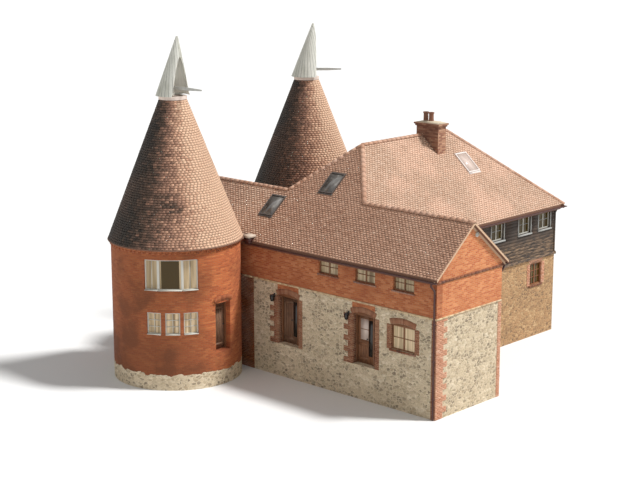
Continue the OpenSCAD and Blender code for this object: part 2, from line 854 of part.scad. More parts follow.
module main_north_wall() {
    color("tan") placed() difference() {
        block([main_left + wall_t, main_back - wall_t, 0],
              [main_right - wall_t, main_back, level(ledge_h)]);
        on_north() openings(north_windows[1], wall_t);
    }
}

// What lies above the underside of the rear hip
module above_north_roof() {
    drop = roof_t / cos(main_pitch) + rest_gap;
    translate([0, main_eave_back, level(main_eave_h) - drop]) rotate([-main_pitch, 0, 0])
        translate([-sky, -sky, 0]) cube([2 * sky, sky + past * 20, sky]);
}

module main_north_boards() {
    color("dimgray") placed() difference() {
        union() {
            block([main_left + board_wall_t, main_back - board_wall_t, level(ledge_h)],
                  [main_right - board_wall_t, main_back, level(main_ridge_h)]);
            on_north() {
                ledge(main_left - ledge_out, main_right + ledge_out, 0);
                ledge(main_left + board_wall_t, main_right - board_wall_t, board_wall_t / 2);
            }
        }
        on_north() openings(north_windows[0], wall_t);
        for (p = downpipes) if (p[0] == "north") on_eave(p[0]) pipe_run(p, pipe_r + rest_gap);
        above_north_roof();
    }
}

// Roofs

// Past the gables only tiles and battens go on: this cuts away what lies under them
module under_verge(y0, h0, pitch) {
    for (x = [verge_left - past, gable_x])
        translate([x, y0, level(h0)]) rotate([pitch, 0, 0])
            translate([0, -sky, -sky - verge_t]) cube([verge_overhang + past, 2 * sky, sky]);
}

module front_roof() {
    color("rosybrown") placed() difference() {
        slope_slab([
            [verge_left, front_eave_y], [verge_right, front_eave_y],
            [verge_right, range_ridge_y], [ridge_x + hip_foot_off, range_ridge_y],
            [ridge_x, hip_front_y], [ridge_x - hip_foot_off, range_ridge_y],
            [verge_left, range_ridge_y]
        ], front_eave_y, range_eave_h, range_pitch, sky);
        under_verge(front_eave_y, range_eave_h, range_pitch);
        kiln_volume(0);
    }
}

module range_rear_roof() {
    eave_l = ridge_x - main_eave_half;
    eave_r = ridge_x + main_eave_half;
    color("rosybrown") placed() translate([0, 2 * range_ridge_y, 0]) mirror([0, 1, 0])
        difference() {
            for (plan = [
                [[ridge_x + hip_foot_off, range_ridge_y], [verge_right, range_ridge_y],
                 [verge_right, rear_eave_y], [eave_r, rear_eave_y], [eave_r, valley_end_y]],
                [[ridge_x - hip_foot_off, range_ridge_y], [verge_left, range_ridge_y],
                 [verge_left, rear_eave_y], [eave_l, rear_eave_y], [eave_l, valley_end_y]]
            ])
                slope_slab([for (p = plan) [p[0], 2 * range_ridge_y - p[1]]],
                           front_eave_y, range_eave_h, range_pitch, sky);
            under_verge(front_eave_y, range_eave_h, range_pitch);
        }
}

// Side slope of the main block, on the left or the right of its ridge
module main_side_roof(side) {
    eave = main_eave_half;
    plan = [
        [0, hip_front_y], [hip_foot_off, range_ridge_y], [eave, valley_end_y],
        [eave, main_eave_back], [0, hip_back_y]
    ];
    translate([ridge_x, 0, 0]) mirror([side < 0 ? 1 : 0, 0, 0]) rotate([0, 0, 90])
        slope_slab([for (p = plan) [p[1], -p[0]]], -eave, main_eave_h, main_pitch, sky);
}

module main_east_roof() {
    color("mistyrose") placed() difference() {
        main_side_roof(1);
        at_chimney() chimney_shaft(0, sky);
    }
}

module main_west_roof() {
    color("rosybrown") placed() difference() {
        main_side_roof(-1);
        kiln_2_volume();
        at_chimney() chimney_shaft(0, sky);
    }
}

module main_north_roof() {
    plan = [
        [-main_eave_half, main_eave_back], [main_eave_half, main_eave_back], [0, hip_back_y]
    ];
    color("rosybrown") placed()
        translate([ridge_x, main_eave_back, 0]) rotate([0, 0, 180])
            slope_slab([for (p = plan) [-p[0], main_eave_back - p[1]]],
                       0, main_eave_h, main_pitch, sky);
}

// Chimney

module at_chimney() {
    translate([ridge_x + chimney_off - chimney_w / 2, front_y + chimney_y, 0]) children();
}

module chimney_shaft(z0, z1, out = 0) {
    block([-chimney_w / 2 - out, -chimney_d / 2 - out, z0],
          [chimney_w / 2 + out, chimney_d / 2 + out, z1]);
}

// Middles of the pots along the stack, as shares of its breadth
pot_at = [-0.25, 0];

// It ends under the roof, just below its lowest line through the tiles
module chimney_stack() {
    stack_low = main_ridge_h - chimney_off * main_slope - 2 * roof_t;
    flue_r = pot_r - 25;
    color("brown") placed() at_chimney() difference() {
        union() {
            chimney_shaft(level(stack_low), level(chimney_h) - cap_rise);
            chimney_shaft(level(chimney_h) - 2 * cap_rise, level(chimney_h), cap_out);
            chimney_shaft(level(chimney_h) - cap_rise, level(chimney_h), 2 * cap_out);
        }
        for (x = pot_at * chimney_w)
            translate([x, 0, level(stack_low) - past]) cylinder(r = flue_r, h = sky, $fn = small_fn);
    }
}

module chimney_pots() {
    foot_r = pot_r + 35;
    rim = 50;
    color("peru") placed() at_chimney() for (x = pot_at * chimney_w)
        translate([x, 0, level(chimney_h)])
            rotate_extrude($fn = small_fn)
                polygon([
                    [pot_r - 25, 0], [foot_r, 0], [foot_r, rim], [pot_r, 1.5 * rim],
                    [pot_r - 5, pot_rise - 1.5 * rim], [pot_r + 20, pot_rise - rim],
                    [pot_r + 20, pot_rise], [pot_r - 25, pot_rise]
                ]);
}

// Roof windows: middle along the building and lower edge up the slope, as shares of both
front_slope_l = (hip_front_y - front_eave_y) / cos(range_pitch);
east_slope_l = main_eave_half / cos(main_pitch);
front_roof_windows = [[0.164, 0.238], [0.354, 0.519]];
east_roof_windows = [[0.5885, 0.516]];

module roof_window_box() {
    difference() {
        translate([-roof_win_w / 2, 0, rest_gap])
            cube([roof_win_w, roof_win_l, roof_win_out]);
        translate([-roof_win_w / 2 + frame_w, frame_w, roof_win_out / 2])
            cube([roof_win_w - 2 * frame_w, roof_win_l - 2 * frame_w, roof_win_out]);
    }
}

module roof_windows() {
    color("dimgray") placed() {
        for (w = front_roof_windows)
            translate([w[0] * gable_x, front_eave_y, level(range_eave_h)])
                rotate([range_pitch, 0, 0]) translate([0, w[1] * front_slope_l, 0])
                    roof_window_box();
        for (w = east_roof_windows)
            translate([ridge_x + main_eave_half, rear_y + w[0] * main_len, level(main_eave_h)])
                rotate([0, 0, 90]) rotate([main_pitch, 0, 0])
                    translate([0, w[1] * east_slope_l, 0]) roof_window_box();
    }
}

// Windows and doors

module each_window(list) {
    for (w = list) {
        $w = w;
        children();
    }
}

module each_range_window() { on_front() each_window(range_windows) children(); }

module each_white_window() {
    on_east() for (row = east_windows) each_window(row) children();
    on_north() for (row = north_windows) each_window(row) children();
    on_west() for (row = west_windows) each_window(row) children();
    for (az = kiln_light_az) on_kiln_1(az) translate([0, sagitta(kiln_light_w / 2), 0])
        each_window([kiln_lower_window]) children();
}

module range_window_frames() {
    color("saddlebrown") placed() each_range_window() window_frame($w);
}

module white_window_frames() {
    color("whitesmoke") placed() {
        each_white_window() window_frame($w);
        bow_frame();
    }
}

module window_glass() {
    color("darkslategray") placed() {
        each_range_window() window_panes($w);
        each_white_window() window_panes($w);
        for (i = [0 : 2]) on_bow_light(i) window_panes(bow_window(i));
        for (x = [door_1_x, door_2_x]) at_range_door(x)
            block([range_door_w - jamb_w - side_light_w, wall_t - jamb_d / 2 - glass_t / 2,
                   level(0) + jamb_w],
                  [range_door_w - jamb_w, wall_t - jamb_d / 2 + glass_t / 2,
                   level(door_h) - jamb_w]);
    }
}

module at_range_door(x) { translate([x, front_y, 0]) children(); }

module at_kiln_door() {
    on_kiln_1(kiln_door_az) translate([kiln_door_w / 2, 0, 0]) mirror([1, 0, 0]) children();
}

module door_frames() {
    color("saddlebrown") placed() {
        for (x = [door_1_x, door_2_x])
            at_range_door(x) door_frame(range_door_w, wall_t, side_light_w);
        at_kiln_door() door_frame(kiln_door_w, kiln_door_y, 0);
    }
}

module range_door_1() {
    color("sienna") placed() at_range_door(door_1_x)
        door_leaf(range_door_w, wall_t, side_light_w);
}

module range_door_2() {
    color("sienna") placed() at_range_door(door_2_x)
        door_leaf(range_door_w, wall_t, side_light_w);
}

module kiln_door() {
    color("sienna") placed() at_kiln_door() door_leaf(kiln_door_w, kiln_door_y, 0);
}

// Gutters and downpipes

// An eave's own axes: along it is +x, its edge is y = 0 with the building at +y, and z = 0 is
// the tiles' upper edge
module on_eave(side) {
    if (side == "front") translate([0, front_eave_y, level(range_eave_h)]) children();
    if (side == "rear")
        translate([0, rear_eave_y, level(range_eave_h)]) mirror([0, 1, 0]) children();
    if (side == "east")
        translate([ridge_x + main_eave_half, 0, level(main_eave_h)]) rotate([0, 0, 90]) children();
    if (side == "west")
        translate([ridge_x - main_eave_half, 0, level(main_eave_h)]) mirror([1, -1, 0]) children();
    if (side == "north")
        translate([0, main_eave_back, level(main_eave_h)]) mirror([0, 1, 0]) children();
}

// Each gutter: [eave, start, end, mitred at its start, mitred at its end]
gutter_d = 2 * gutter_r;
gutter_t = 6;
gutter_start = sqrt(pow(kiln_eave_r, 2) - pow(front_eave_y - gutter_d, 2)) + gutter_r;
gutters = [
    ["front", gutter_start, verge_right, 0, 0],
    ["rear", ridge_x + main_eave_half + gutter_d, verge_right, 0, 0],
    ["rear", verge_left, ridge_x - main_eave_half - gutter_d, 0, 0],
    ["east", rear_eave_y, main_eave_back, 0, 1],
    ["west", rear_eave_y, main_eave_back, 0, 1],
    ["north", ridge_x - main_eave_half, ridge_x + main_eave_half, 1, 1]
];
function eave_drop(side) =
    roof_t / cos(side == "front" || side == "rear" ? range_pitch : main_pitch);
function eave_out(side) =
    side == "front" || side == "rear" ? eave_overhang : main_overhang;
function eave_h(side) = side == "front" || side == "rear" ? range_eave_h : main_eave_h;

module gutter_rod(g, r, past_a, past_b) {
    translate([g[1] - past_a, -gutter_r, -eave_drop(g[0]) / 2]) rotate([90, 0, 90])
        linear_extrude(height = g[2] - g[1] + past_a + past_b) circle(r = r, $fn = small_fn);
}

module gutter_body(g) {
    intersection() {
        gutter_rod(g, gutter_r, gutter_d * g[3], gutter_d * g[4]);
        translate([0, 0, -eave_drop(g[0]) / 2 - gutter_d]) linear_extrude(height = gutter_d)
            polygon([
                [g[1], 0], [g[2], 0], [g[2] + gutter_d * g[4], -gutter_d],
                [g[1] - gutter_d * g[3], -gutter_d]
            ]);
    }
}

module gutter_trough(g) {
    gutter_rod(g, gutter_r - gutter_t, g[3] > 0 ? 0 : -gutter_t, g[4] > 0 ? 0 : -gutter_t);
}

// Each downpipe: [eave, place along it]; it leaves the gutter, turns in to the wall and goes down
swan_drop = 110;
downpipes = [
    ["front", gable_x - 2 * pipe_r], ["rear", gable_x - 2 * pipe_r],
    ["north", main_left + 3 * pipe_r], ["north", main_right - 3 * pipe_r]
];

elbow_r = pipe_r + 5;
function swan_run(p) = gutter_r + eave_out(p[0]) - elbow_r;
function swan_top(p) = -eave_drop(p[0]) / 2 - gutter_r - swan_drop;

// The upright part, down to the ground
module pipe_run(p, r) {
    translate([p[1], eave_out(p[0]) - elbow_r, -level(eave_h(p[0]))])
        cylinder(r = r, h = level(eave_h(p[0])) + swan_top(p) - swan_run(p), $fn = small_fn);
}

module downpipe(p) {
    run = swan_run(p);
    pipe_run(p, pipe_r);
    translate([p[1], -gutter_r, swan_top(p)]) {
        cylinder(r = pipe_r, h = swan_drop + gutter_r / 2, $fn = small_fn);
        sphere(r = elbow_r, $fn = small_fn);
        rotate([-135, 0, 0]) cylinder(r = pipe_r, h = run * sqrt(2), $fn = small_fn);
        translate([0, run, -run]) sphere(r = elbow_r, $fn = small_fn);
    }
}

module rainwater_pipes() {
    color("maroon") placed() difference() {
        union() {
            for (g = gutters) on_eave(g[0]) gutter_body(g);
            for (p = downpipes) on_eave(p[0]) downpipe(p);
        }
        for (g = gutters) on_eave(g[0]) gutter_trough(g);
        kiln_2_volume();
    }
}

kiln_1_window_wall();
kiln_1_side_wall();
kiln_1_back_wall();
kiln_1_door_head();
kiln_2_outer_wall();
kiln_2_inner_wall();
kiln_1_roof();
kiln_2_roof();
kiln_curbs();
cowl_1_hood();
cowl_1_vane();
cowl_2_hood();
cowl_2_vane();
kiln_floors();
ground_floor();
upper_floor();
front_wall_stone();
front_wall_brick();
door_lintels();
door_thresholds();
gable_stone();
gable_brick();
range_back_walls();
main_east_wall();
main_east_boards();
main_north_wall();
main_north_boards();
main_west_wall();
main_west_boards();
front_roof();
range_rear_roof();
main_east_roof();
main_west_roof();
main_north_roof();
chimney_stack();
chimney_pots();
roof_windows();
range_window_frames();
white_window_frames();
window_glass();
door_frames();
kiln_door();
range_door_1();
range_door_2();
rainwater_pipes();
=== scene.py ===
"""Looks of the oast house: tiled roofs, brick and rubble walls, boards, joinery and cowls.

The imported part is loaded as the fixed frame, and every length here is in metres in that frame.
"""

import logging
import math
from collections.abc import Callable
from dataclasses import dataclass, field, replace
from enum import Enum
from typing import Union

import bmesh
import bpy
import numpy as np
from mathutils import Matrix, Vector
from numpy.typing import NDArray


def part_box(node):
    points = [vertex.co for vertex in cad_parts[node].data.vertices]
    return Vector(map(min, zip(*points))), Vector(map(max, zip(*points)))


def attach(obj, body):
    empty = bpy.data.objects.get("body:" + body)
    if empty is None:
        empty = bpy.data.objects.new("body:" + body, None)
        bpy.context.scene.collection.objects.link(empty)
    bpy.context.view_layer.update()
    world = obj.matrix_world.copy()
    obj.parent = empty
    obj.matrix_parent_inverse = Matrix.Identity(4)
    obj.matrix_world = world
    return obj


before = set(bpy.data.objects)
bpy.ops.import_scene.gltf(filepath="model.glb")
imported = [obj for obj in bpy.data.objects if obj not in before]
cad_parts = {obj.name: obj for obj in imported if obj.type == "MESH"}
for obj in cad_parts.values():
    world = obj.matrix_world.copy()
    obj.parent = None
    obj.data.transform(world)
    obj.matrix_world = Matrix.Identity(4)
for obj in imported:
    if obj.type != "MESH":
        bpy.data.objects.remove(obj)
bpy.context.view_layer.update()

LOG = logging.getLogger("oast_house")
Array = NDArray[np.float64]
Amount = Union[Array, float]
Pair = tuple[float, float]
Triple = tuple[float, float, float]
Colour = tuple[float, float, float, float]


def tint(red: int, green: int, blue: int) -> Colour:
    """Turn a display colour into the linear one that a shader takes.

    Args:
        red, green, blue: Its parts from 0 to 255.

    Returns:
        The linear colour with full alpha.
    """
    part = [c / 255 for c in (red, green, blue)]
    line = [c / 12.92 if c <= 0.04045 else ((c + 0.055) / 1.055) ** 2.4 for c in part]
    return line[0], line[1], line[2], 1.0


def shades(*codes: tuple[int, int, int]) -> tuple[Colour, ...]:
    """Turn several display colours into linear ones."""
    return tuple(tint(*code) for code in codes)


class Way(Enum):
    """The side that a wall faces."""

    FRONT = "front"
    GABLE = "gable"
    EAST = "east"
    NORTH = "north"
    WEST = "west"
    REAR = "rear"


class Slot(Enum):
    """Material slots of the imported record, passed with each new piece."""

    KILN_BRICK = "kiln_brick"
    KILN_TILE = "kiln_tile"
    STONE = "ragstone"
    BRICK = "range_brick"
    BOARDS = "black_boards"
    TILE = "roof_tile"
    WHITE = "white_frame"
    TIMBER = "brown_timber"
    GUTTER = "dark_gutter"
    GLASS = "window_glass"
    ROOF_WINDOW = "roof_window"


@dataclass(frozen=True)
class Plan:
    """Levels and lines of the building, with the front kiln's axis and the ground floor as zero.

    Attributes:
        kiln, kiln_2: Where the axes of the front and the rear kiln stand in the frame.
        floor: Height of the ground floor in the frame.
        kiln_r, eave_r, top_r: Radii of a kiln's wall, and of its cone's foot and upper end.
        kiln_eave, kiln_rise: Height of the cone's foot, and from there to its upper end.
        kiln_drop: How much lower the rear kiln stands.
        front, gable, left_end, depth: Faces of the range's walls, and its depth.
        verge, eave_out: How far the range's roof passes its ends and its long walls.
        range_eave, range_pitch: Height of the range's eaves, and slope of its roof.
        ridge_x, half, length: Middle, half width and length of the main block.
        main_out, main_ridge, main_pitch: Overhang, ridge height and slope of its roof.
        roof_t: Thickness of the roofs.
        stone_top, ledge: Where the stone ends on the range and on the main block.
        lip, lip_out: Height of the course at a cone's foot, and how far it stands out.
        doors, door_width, door_head: Left edges, width and head of the range's doorways.
        kiln_door: Direction that the kiln's door faces, in degrees.
    """

    kiln: Pair
    kiln_2: Pair
    floor: float
    kiln_r: float = 2.67
    eave_r: float = 2.8
    top_r: float = 0.58
    kiln_eave: float = 4.39
    kiln_rise: float = 5.72
    kiln_drop: float = 0.15
    front: float = 2.445
    gable: float = 11.85
    left_end: float = -2.4
    verge: float = 0.17
    depth: float = 4.07
    eave_out: float = 0.205
    range_eave: float = 4.17
    range_pitch: float = math.radians(39.8)
    ridge_x: float = 4.29
    half: float = 3.57
    main_out: float = 0.275
    length: float = 9.49
    main_ridge: float = 7.93
    main_pitch: float = math.radians(41.5)
    roof_t: float = 0.16
    stone_top: float = 2.54
    ledge: float = 2.2
    lip: float = 0.04
    lip_out: float = 0.022
    doors: Pair = (3.48, 7.61)
    door_width: float = 1.2
    door_head: float = 2.05
    kiln_door: float = 3.0

    @classmethod
    def of_frame(cls) -> "Plan":
        """Read the two axes and the floor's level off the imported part.

        Returns:
            The plan.
        """
        boxes = [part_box(node) for node in ("kiln_1_roof", "kiln_2_roof")]
        spots = [((low.x + high.x) / 2, (low.y + high.y) / 2) for low, high in boxes]
        return cls(kiln=spots[0], kiln_2=spots[1], floor=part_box("ground_floor")[1].z)

    @property
    def rear(self) -> float:
        """Rear face of the range."""
        return self.front + self.depth

    @property
    def ridge_y(self) -> float:
        """Line of the range's ridge."""
        return self.front + self.depth / 2

    @property
    def eave_y(self) -> float:
        """Line of the range's front eave."""
        return self.front - self.eave_out

    @property
    def range_ridge(self) -> float:
        """Height of the range's ridge."""
        return self.range_eave + (self.ridge_y - self.eave_y) * math.tan(self.range_pitch)

    @property
    def back(self) -> float:
        """Rear face of the main block."""
        return self.rear + self.length

    @property
    def eave_half(self) -> float:
        """Half of the main roof's width."""
        return self.half + self.main_out

    @property
    def main_eave(self) -> float:
        """Height of the main block's eaves."""
        return self.main_ridge - self.eave_half * math.tan(self.main_pitch)

    @property
    def hip_front(self) -> float:
        """Where the main ridge meets the front slope."""
        return self.eave_y + (self.main_ridge - self.range_eave) / math.tan(self.range_pitch)

    @property
    def hip_foot(self) -> float:
        """How far from the main ridge the front hips meet the range's ridge."""
        return (self.main_ridge - self.range_ridge) / math.tan(self.main_pitch)

    @property
    def valley_end(self) -> float:
        """Where a main eave meets the range's rear slope."""
        drop = self.range_ridge - self.main_eave
        return self.ridge_y + drop / math.tan(self.range_pitch)

    @property
    def back_eave(self) -> float:
        """Line of the rear eave of the main block."""
        return self.back + self.main_out

    @property
    def hip_back(self) -> float:
        """Where the main ridge meets the rear hips."""
        return self.back_eave - self.eave_half

    def place(self, points: Array) -> Array:
        """Move points, as x, y, z on the last axis, from the plan's own zero into the frame."""
        return points + np.array([self.kiln[0], self.kiln[1], self.floor])


PLAN = Plan.of_frame()


def around(centre: Pair, radius: Amount, angle: Array, z: Amount) -> Array:
    """Give points round an upright axis: its place, plus the radius times cosine and sine."""
    parts = centre[0] + radius * np.cos(angle), centre[1] + radius * np.sin(angle), z
    return np.stack(np.broadcast_arrays(*parts), axis=-1)


# Materials


def operation(how: str, swapped: bool = False) -> "Callable[..., Wire]":
    """Give a method that adds one Math node.

    Args:
        how: The node's operation.
        swapped: Whether the wire itself is the node's last input.

    Returns:
        The method, which takes the node's other inputs.
    """

    def method(self: "Wire", *others: "Value") -> "Wire":
        """Add the node."""
        return self.graph.math(how, *((*others, self) if swapped else (self, *others)))

    return method


@dataclass(frozen=True, eq=False)
class Wire:
    """Output of a node, which takes part in plain arithmetic with other wires and numbers."""

    graph: "Graph"
    socket: bpy.types.NodeSocket

    __add__ = operation("ADD")
    __sub__ = operation("SUBTRACT")
    __rsub__ = operation("SUBTRACT", swapped=True)
    __mul__ = operation("MULTIPLY")
    __truediv__ = operation("DIVIDE")
    __mod__ = operation("MODULO")
    __pow__ = operation("POWER")
    __gt__ = operation("GREATER_THAN")
    __lt__ = operation("LESS_THAN")
    __abs__ = operation("ABSOLUTE")
    floor = operation("FLOOR")
    least = operation("MINIMUM")
    most = operation("MAXIMUM")
    sine = operation("SINE")
    cosine = operation("COSINE")
    arctan = operation("ARCTAN2")

    def edge(self) -> "Wire":
        """Give how far the value is from the nearest whole number."""
        inside = self - self.floor()
        return inside.least(1.0 - inside)

    def level(self, low: float, high: float) -> "Wire":
        """Turn low to 0 and high to 1, with a smooth run between them."""
        inputs = {"Value": self, "From Min": low, "From Max": high}
        return self.graph.out("Result", "MapRange", inputs, interpolation_type="SMOOTHSTEP")

    def ramp(self, stops: tuple[tuple[float, Colour], ...], stepped: bool = False) -> "Wire":
        """Colour the value by stops.

        Args:
            stops: Pairs of position and colour, in rising order.
            stepped: Whether each colour holds up to the next stop.

        Returns:
            The colour.
        """
        made = self.graph.node("ValToRGB", {"Fac": self})
        made.color_ramp.interpolation = "CONSTANT" if stepped else "LINEAR"
        while len(made.color_ramp.elements) < len(stops):
            made.color_ramp.elements.new(1.0)
        for element, (at, colour) in zip(made.color_ramp.elements, stops):
            element.position = at
            element.color = colour
        return Wire(self.graph, made.outputs["Color"])

    def spread(self, colours: tuple[Colour, ...], stepped: bool = False) -> "Wire":
        """Colour the value by colours at equal distances, in a smooth run or in steps."""
        parts = len(colours) if stepped else len(colours) - 1
        return self.ramp(tuple((i / parts, colour) for i, colour in enumerate(colours)), stepped)


Value = Union[Wire, float, tuple[float, ...]]


class Graph:
    """Nodes of a material or a world, with short calls for those that the finishes share."""

    def __init__(self, owner: bpy.types.Material | bpy.types.World,
                 shader: str = "Principled BSDF") -> None:
        """Take the owner's nodes, and find its shader by name.

        Args:
            owner: The material or world.
            shader: Name of its shader node.
        """
        owner.use_nodes = True
        self.tree = owner.node_tree
        self.shader = self.tree.nodes[shader]

    def node(self, kind: str, inputs: dict[int | str, Value] | None = None,
             **settings: object) -> bpy.types.Node:
        """Add a node.

        Args:
            kind: Its type, less the word ShaderNode.
            inputs: Wires or constants for its inputs, by their names or numbers.
            settings: Its own properties.

        Returns:
            The node.
        """
        made = self.tree.nodes.new(f"ShaderNode{kind}")
        for key, value in settings.items():
            setattr(made, key, value)
        for key, value in (inputs or {}).items():
            self.feed(made.inputs[key], value)
        return made

    def out(self, output: int | str, kind: str, inputs: dict[int | str, Value] | None = None,
            **settings: object) -> Wire:
        """Add a node in the same way, and give one of its outputs."""
        return Wire(self, self.node(kind, inputs, **settings).outputs[output])

    def feed(self, socket: bpy.types.NodeSocket, value: Value) -> None:
        """Link a socket, or set its value where a constant is given.

        Args:
            socket: An input of a node.
            value: What it takes.
        """
        if isinstance(value, Wire):
            self.tree.links.new(value.socket, socket)
        else:
            socket.default_value = value

    def math(self, how: str, *values: Value) -> Wire:
        """Add a Math node with its inputs in order."""
        return self.out(0, "Math", dict(enumerate(values)), operation=how)

    def place(self) -> Wire:
        """Give the point in the frame, which is the object's own coordinate."""
        return self.out("Object", "TexCoord")

    def split(self, vector: Wire | None = None) -> tuple[Wire, ...]:
        """Give the three parts of a vector, or of the direction that the surface faces."""
        made = self.node("SeparateXYZ", {0: vector or self.out("Normal", "NewGeometry")})
        return tuple(Wire(self, part) for part in made.outputs)

    def join(self, x: Value, y: Value, z: Value = 0.0) -> Wire:
        """Make a vector of three parts."""
        return self.out(0, "CombineXYZ", {0: x, 1: y, 2: z})

    def scaled(self, vector: Wire, scale: Triple) -> Wire:
        """Stretch a vector along its axes."""
        return self.out(0, "Mapping", {"Vector": vector, "Scale": scale})

    def noise(self, vector: Wire, scale: float, detail: float = 4.0, rough: float = 0.55) -> Wire:
        """Give fractal noise from 0 to 1."""
        return self.out("Fac", "TexNoise", {"Vector": vector, "Scale": scale, "Detail": detail,
                                            "Roughness": rough})

    def patches(self, where: Wire) -> Wire:
        """Give large soft patches, from 0 to 1."""
        return self.noise(where, 0.8, 5.0).level(0.42, 0.68)

    def mix(self, factor: Value, a: Value, b: Value, how: str = "MIX") -> Wire:
        """Blend two colours."""
        return self.out(2, "Mix", {0: factor, 6: a, 7: b}, data_type="RGBA", blend_type=how)

    def grained(self, colour: Value, grain: Wire, low: float, left: Triple) -> Wire:
        """Darken a colour where a grain is low, down to what is left of red, green and blue."""
        shade = grain.ramp(((low, (*left, 1.0)), (1.0 - low, (1.0, 1.0, 1.0, 1.0))))
        return self.mix(1.0, colour, shade, "MULTIPLY")

    def coat(self, colour: Value, height: Wire | None = None, depth: float = 0.0) -> None:
        """Give the shader its colour and relief.

        Args:
            colour: The colour.
            height: Height from 0 to 1, or None for no relief.
            depth: Metres that a height of 1 stands for.
        """
        self.feed(self.shader.inputs["Base Color"], colour)
        if height is not None:
            inputs = {"Strength": 1.0, "Distance": depth, "Height": height}
            self.feed(self.shader.inputs["Normal"], self.out("Normal", "Bump", inputs))

    def wall_uv(self, centre: Pair | None, radius: float) -> tuple[Wire, Wire]:
        """Give the place on a wall.

        On a round wall, the place along it is the angle round its axis times its radius. On a
        flat one it is x where the face looks along y, and y where it looks along x.

        Args:
            centre: Axis of a round wall, or None for flat ones.
            radius: Radius of a round wall.

        Returns:
            Metres along the wall, and metres up.
        """
        x, y, z = self.split(self.place())
        if centre is not None:
            return (y - centre[1]).arctan(x - centre[0]) * radius, z
        nx, ny, _ = self.split()
        sideways = abs(nx) > abs(ny)
        return y * sideways + x * (1.0 - sideways), z


@dataclass(frozen=True)
class Finish:
    """A finish that one material gives.

    Attributes:
        name: Name of the material.
        rough: Roughness of the surface.
    """

    name: str
    rough: float = 0.9

    def paint(self, graph: Graph) -> None:
        """Wire the graph's shader. Each finish has its own way."""
        raise NotImplementedError

    def material(self) -> bpy.types.Material:
        """Make the material once, and give the same one on later calls.

        Returns:
            The material.
        """
        found = bpy.data.materials.get(self.name)
        if found is not None:
            return found
        made = bpy.data.materials.new(self.name)
        graph = Graph(made)
        graph.shader.inputs["Roughness"].default_value = self.rough
        self.paint(graph)
        return made


@dataclass(frozen=True)
class Brickwork(Finish):
    """Bricks laid in bond: each is a cell of its own tone, between joints of mortar.

    Attributes:
        tones: Brick colours, which turn up equally often.
        mortar: Colour of the joints.
        centre: Axis of a round wall, or None for flat ones.
        radius: Radius of a round wall.
        stain_and_shade: Colour of large soft patches, and of the painted shade on shaded faces.
        stain_share: How much of it there is.
        shade_to_front: How much more of it lies on faces that look to the front, as painted shade.
        brick: Length and height of a brick with its joints.
        joint: Width of a joint.
    """

    tones: tuple[Colour, ...] = ()
    mortar: Colour = tint(190, 165, 140)
    centre: Pair | None = None
    radius: float = 1.0
    stain_and_shade: Colour = tint(120, 70, 60)
    stain_share: float = 0.45
    shade_to_front: float = 0.0
    brick: Pair = (0.225, 0.075)
    joint: float = 0.012

    def cells(self, graph: Graph) -> tuple[Wire, Wire]:
        """Colour the bricks.

        The row is the height over the course's height. Every other row is moved by half of a
        brick. The joint is where the place in the cell is nearer to its edge than half a joint.

        Args:
            graph: Its nodes.

        Returns:
            The colour, and the height from 0 in the joints to 1 on the bricks.
        """
        along, up = graph.wall_uv(self.centre, self.radius)
        length, height = self.brick
        row_at = up / height
        row = row_at.floor()
        col_at = along / length + row % 2.0 * 0.5
        chance = graph.out("Value", "TexWhiteNoise", {"Vector": graph.join(col_at.floor(), row)},
                           noise_dimensions="2D")
        nearest = (row_at.edge() * height).least(col_at.edge() * length)
        body = nearest.level(self.joint * 0.35, self.joint * 0.75)
        return graph.mix(body, self.mortar, chance.spread(self.tones, stepped=True)), body

    def paint(self, graph: Graph) -> None:
        """Wire bricks, stains, painted shade on front faces, and relief.

        Args:
            graph: Its nodes.
        """
        colour, body = self.cells(graph)
        where = graph.place()
        _, ny, _ = graph.split()
        # painted shade: faces that look to the front take more of the stain colour
        share = graph.patches(where) * self.stain_share + (ny < -0.5) * self.shade_to_front
        grit = graph.noise(where, 38.0, 3.0)
        colour = graph.grained(graph.mix(share, colour, self.stain_and_shade), grit, 0.25, (0.82,) * 3)
        graph.coat(colour, body + grit * 0.3, 0.006)


@dataclass(frozen=True)
class Rubble(Finish):
    """Random rubble and flint in wide pale joints: cells of three-dimensional Voronoi noise.

    Attributes:
        stones: Colours of the stones, from dark to pale.
        mortar: Colour of the joints.
        scale: Stones to a metre.
    """

    stones: tuple[Colour, ...] = ()
    mortar: Colour = tint(206, 188, 158)
    scale: float = 6.0

    def cells(self, graph: Graph) -> tuple[Wire, Wire]:
        """Colour the stones.

        The pick is 0.8 of a cell's chance plus 1.3 of a soft noise less 0.55, so that dark
        stones gather in patches.

        Args:
            graph: Its nodes.

        Returns:
            The colour, and the height from 0 in the joints to 1 on the stones.
        """
        where = graph.scaled(graph.place(), (1.0, 1.0, 1.5))
        wobble = graph.noise(where, 7.0, 3.0) * 0.16
        moved = graph.out(0, "VectorMath", {0: where, 1: graph.join(wobble, wobble, wobble)},
                          operation="ADD")
        inputs = {"Vector": moved, "Scale": self.scale}
        chance, _, _ = graph.split(graph.out("Color", "TexVoronoi", inputs, feature="F1"))
        edge = graph.out("Distance", "TexVoronoi", inputs, feature="DISTANCE_TO_EDGE")
        pick = chance * 0.8 + (graph.noise(where, 1.1, 3.0) * 1.3 - 0.55)
        body = edge.level(0.03, 0.16)
        return graph.mix(body, self.mortar, pick.spread(self.stones, stepped=True)), body

    def paint(self, graph: Graph) -> None:
        """Wire stones, grain and relief.

        Args:
            graph: Its nodes.
        """
        colour, body = self.cells(graph)
        fine = graph.noise(graph.place(), 30.0)
        colour = graph.grained(colour, fine, 0.3, (0.78, 0.77, 0.75))
        graph.coat(colour, body + fine * 0.3, 0.02)


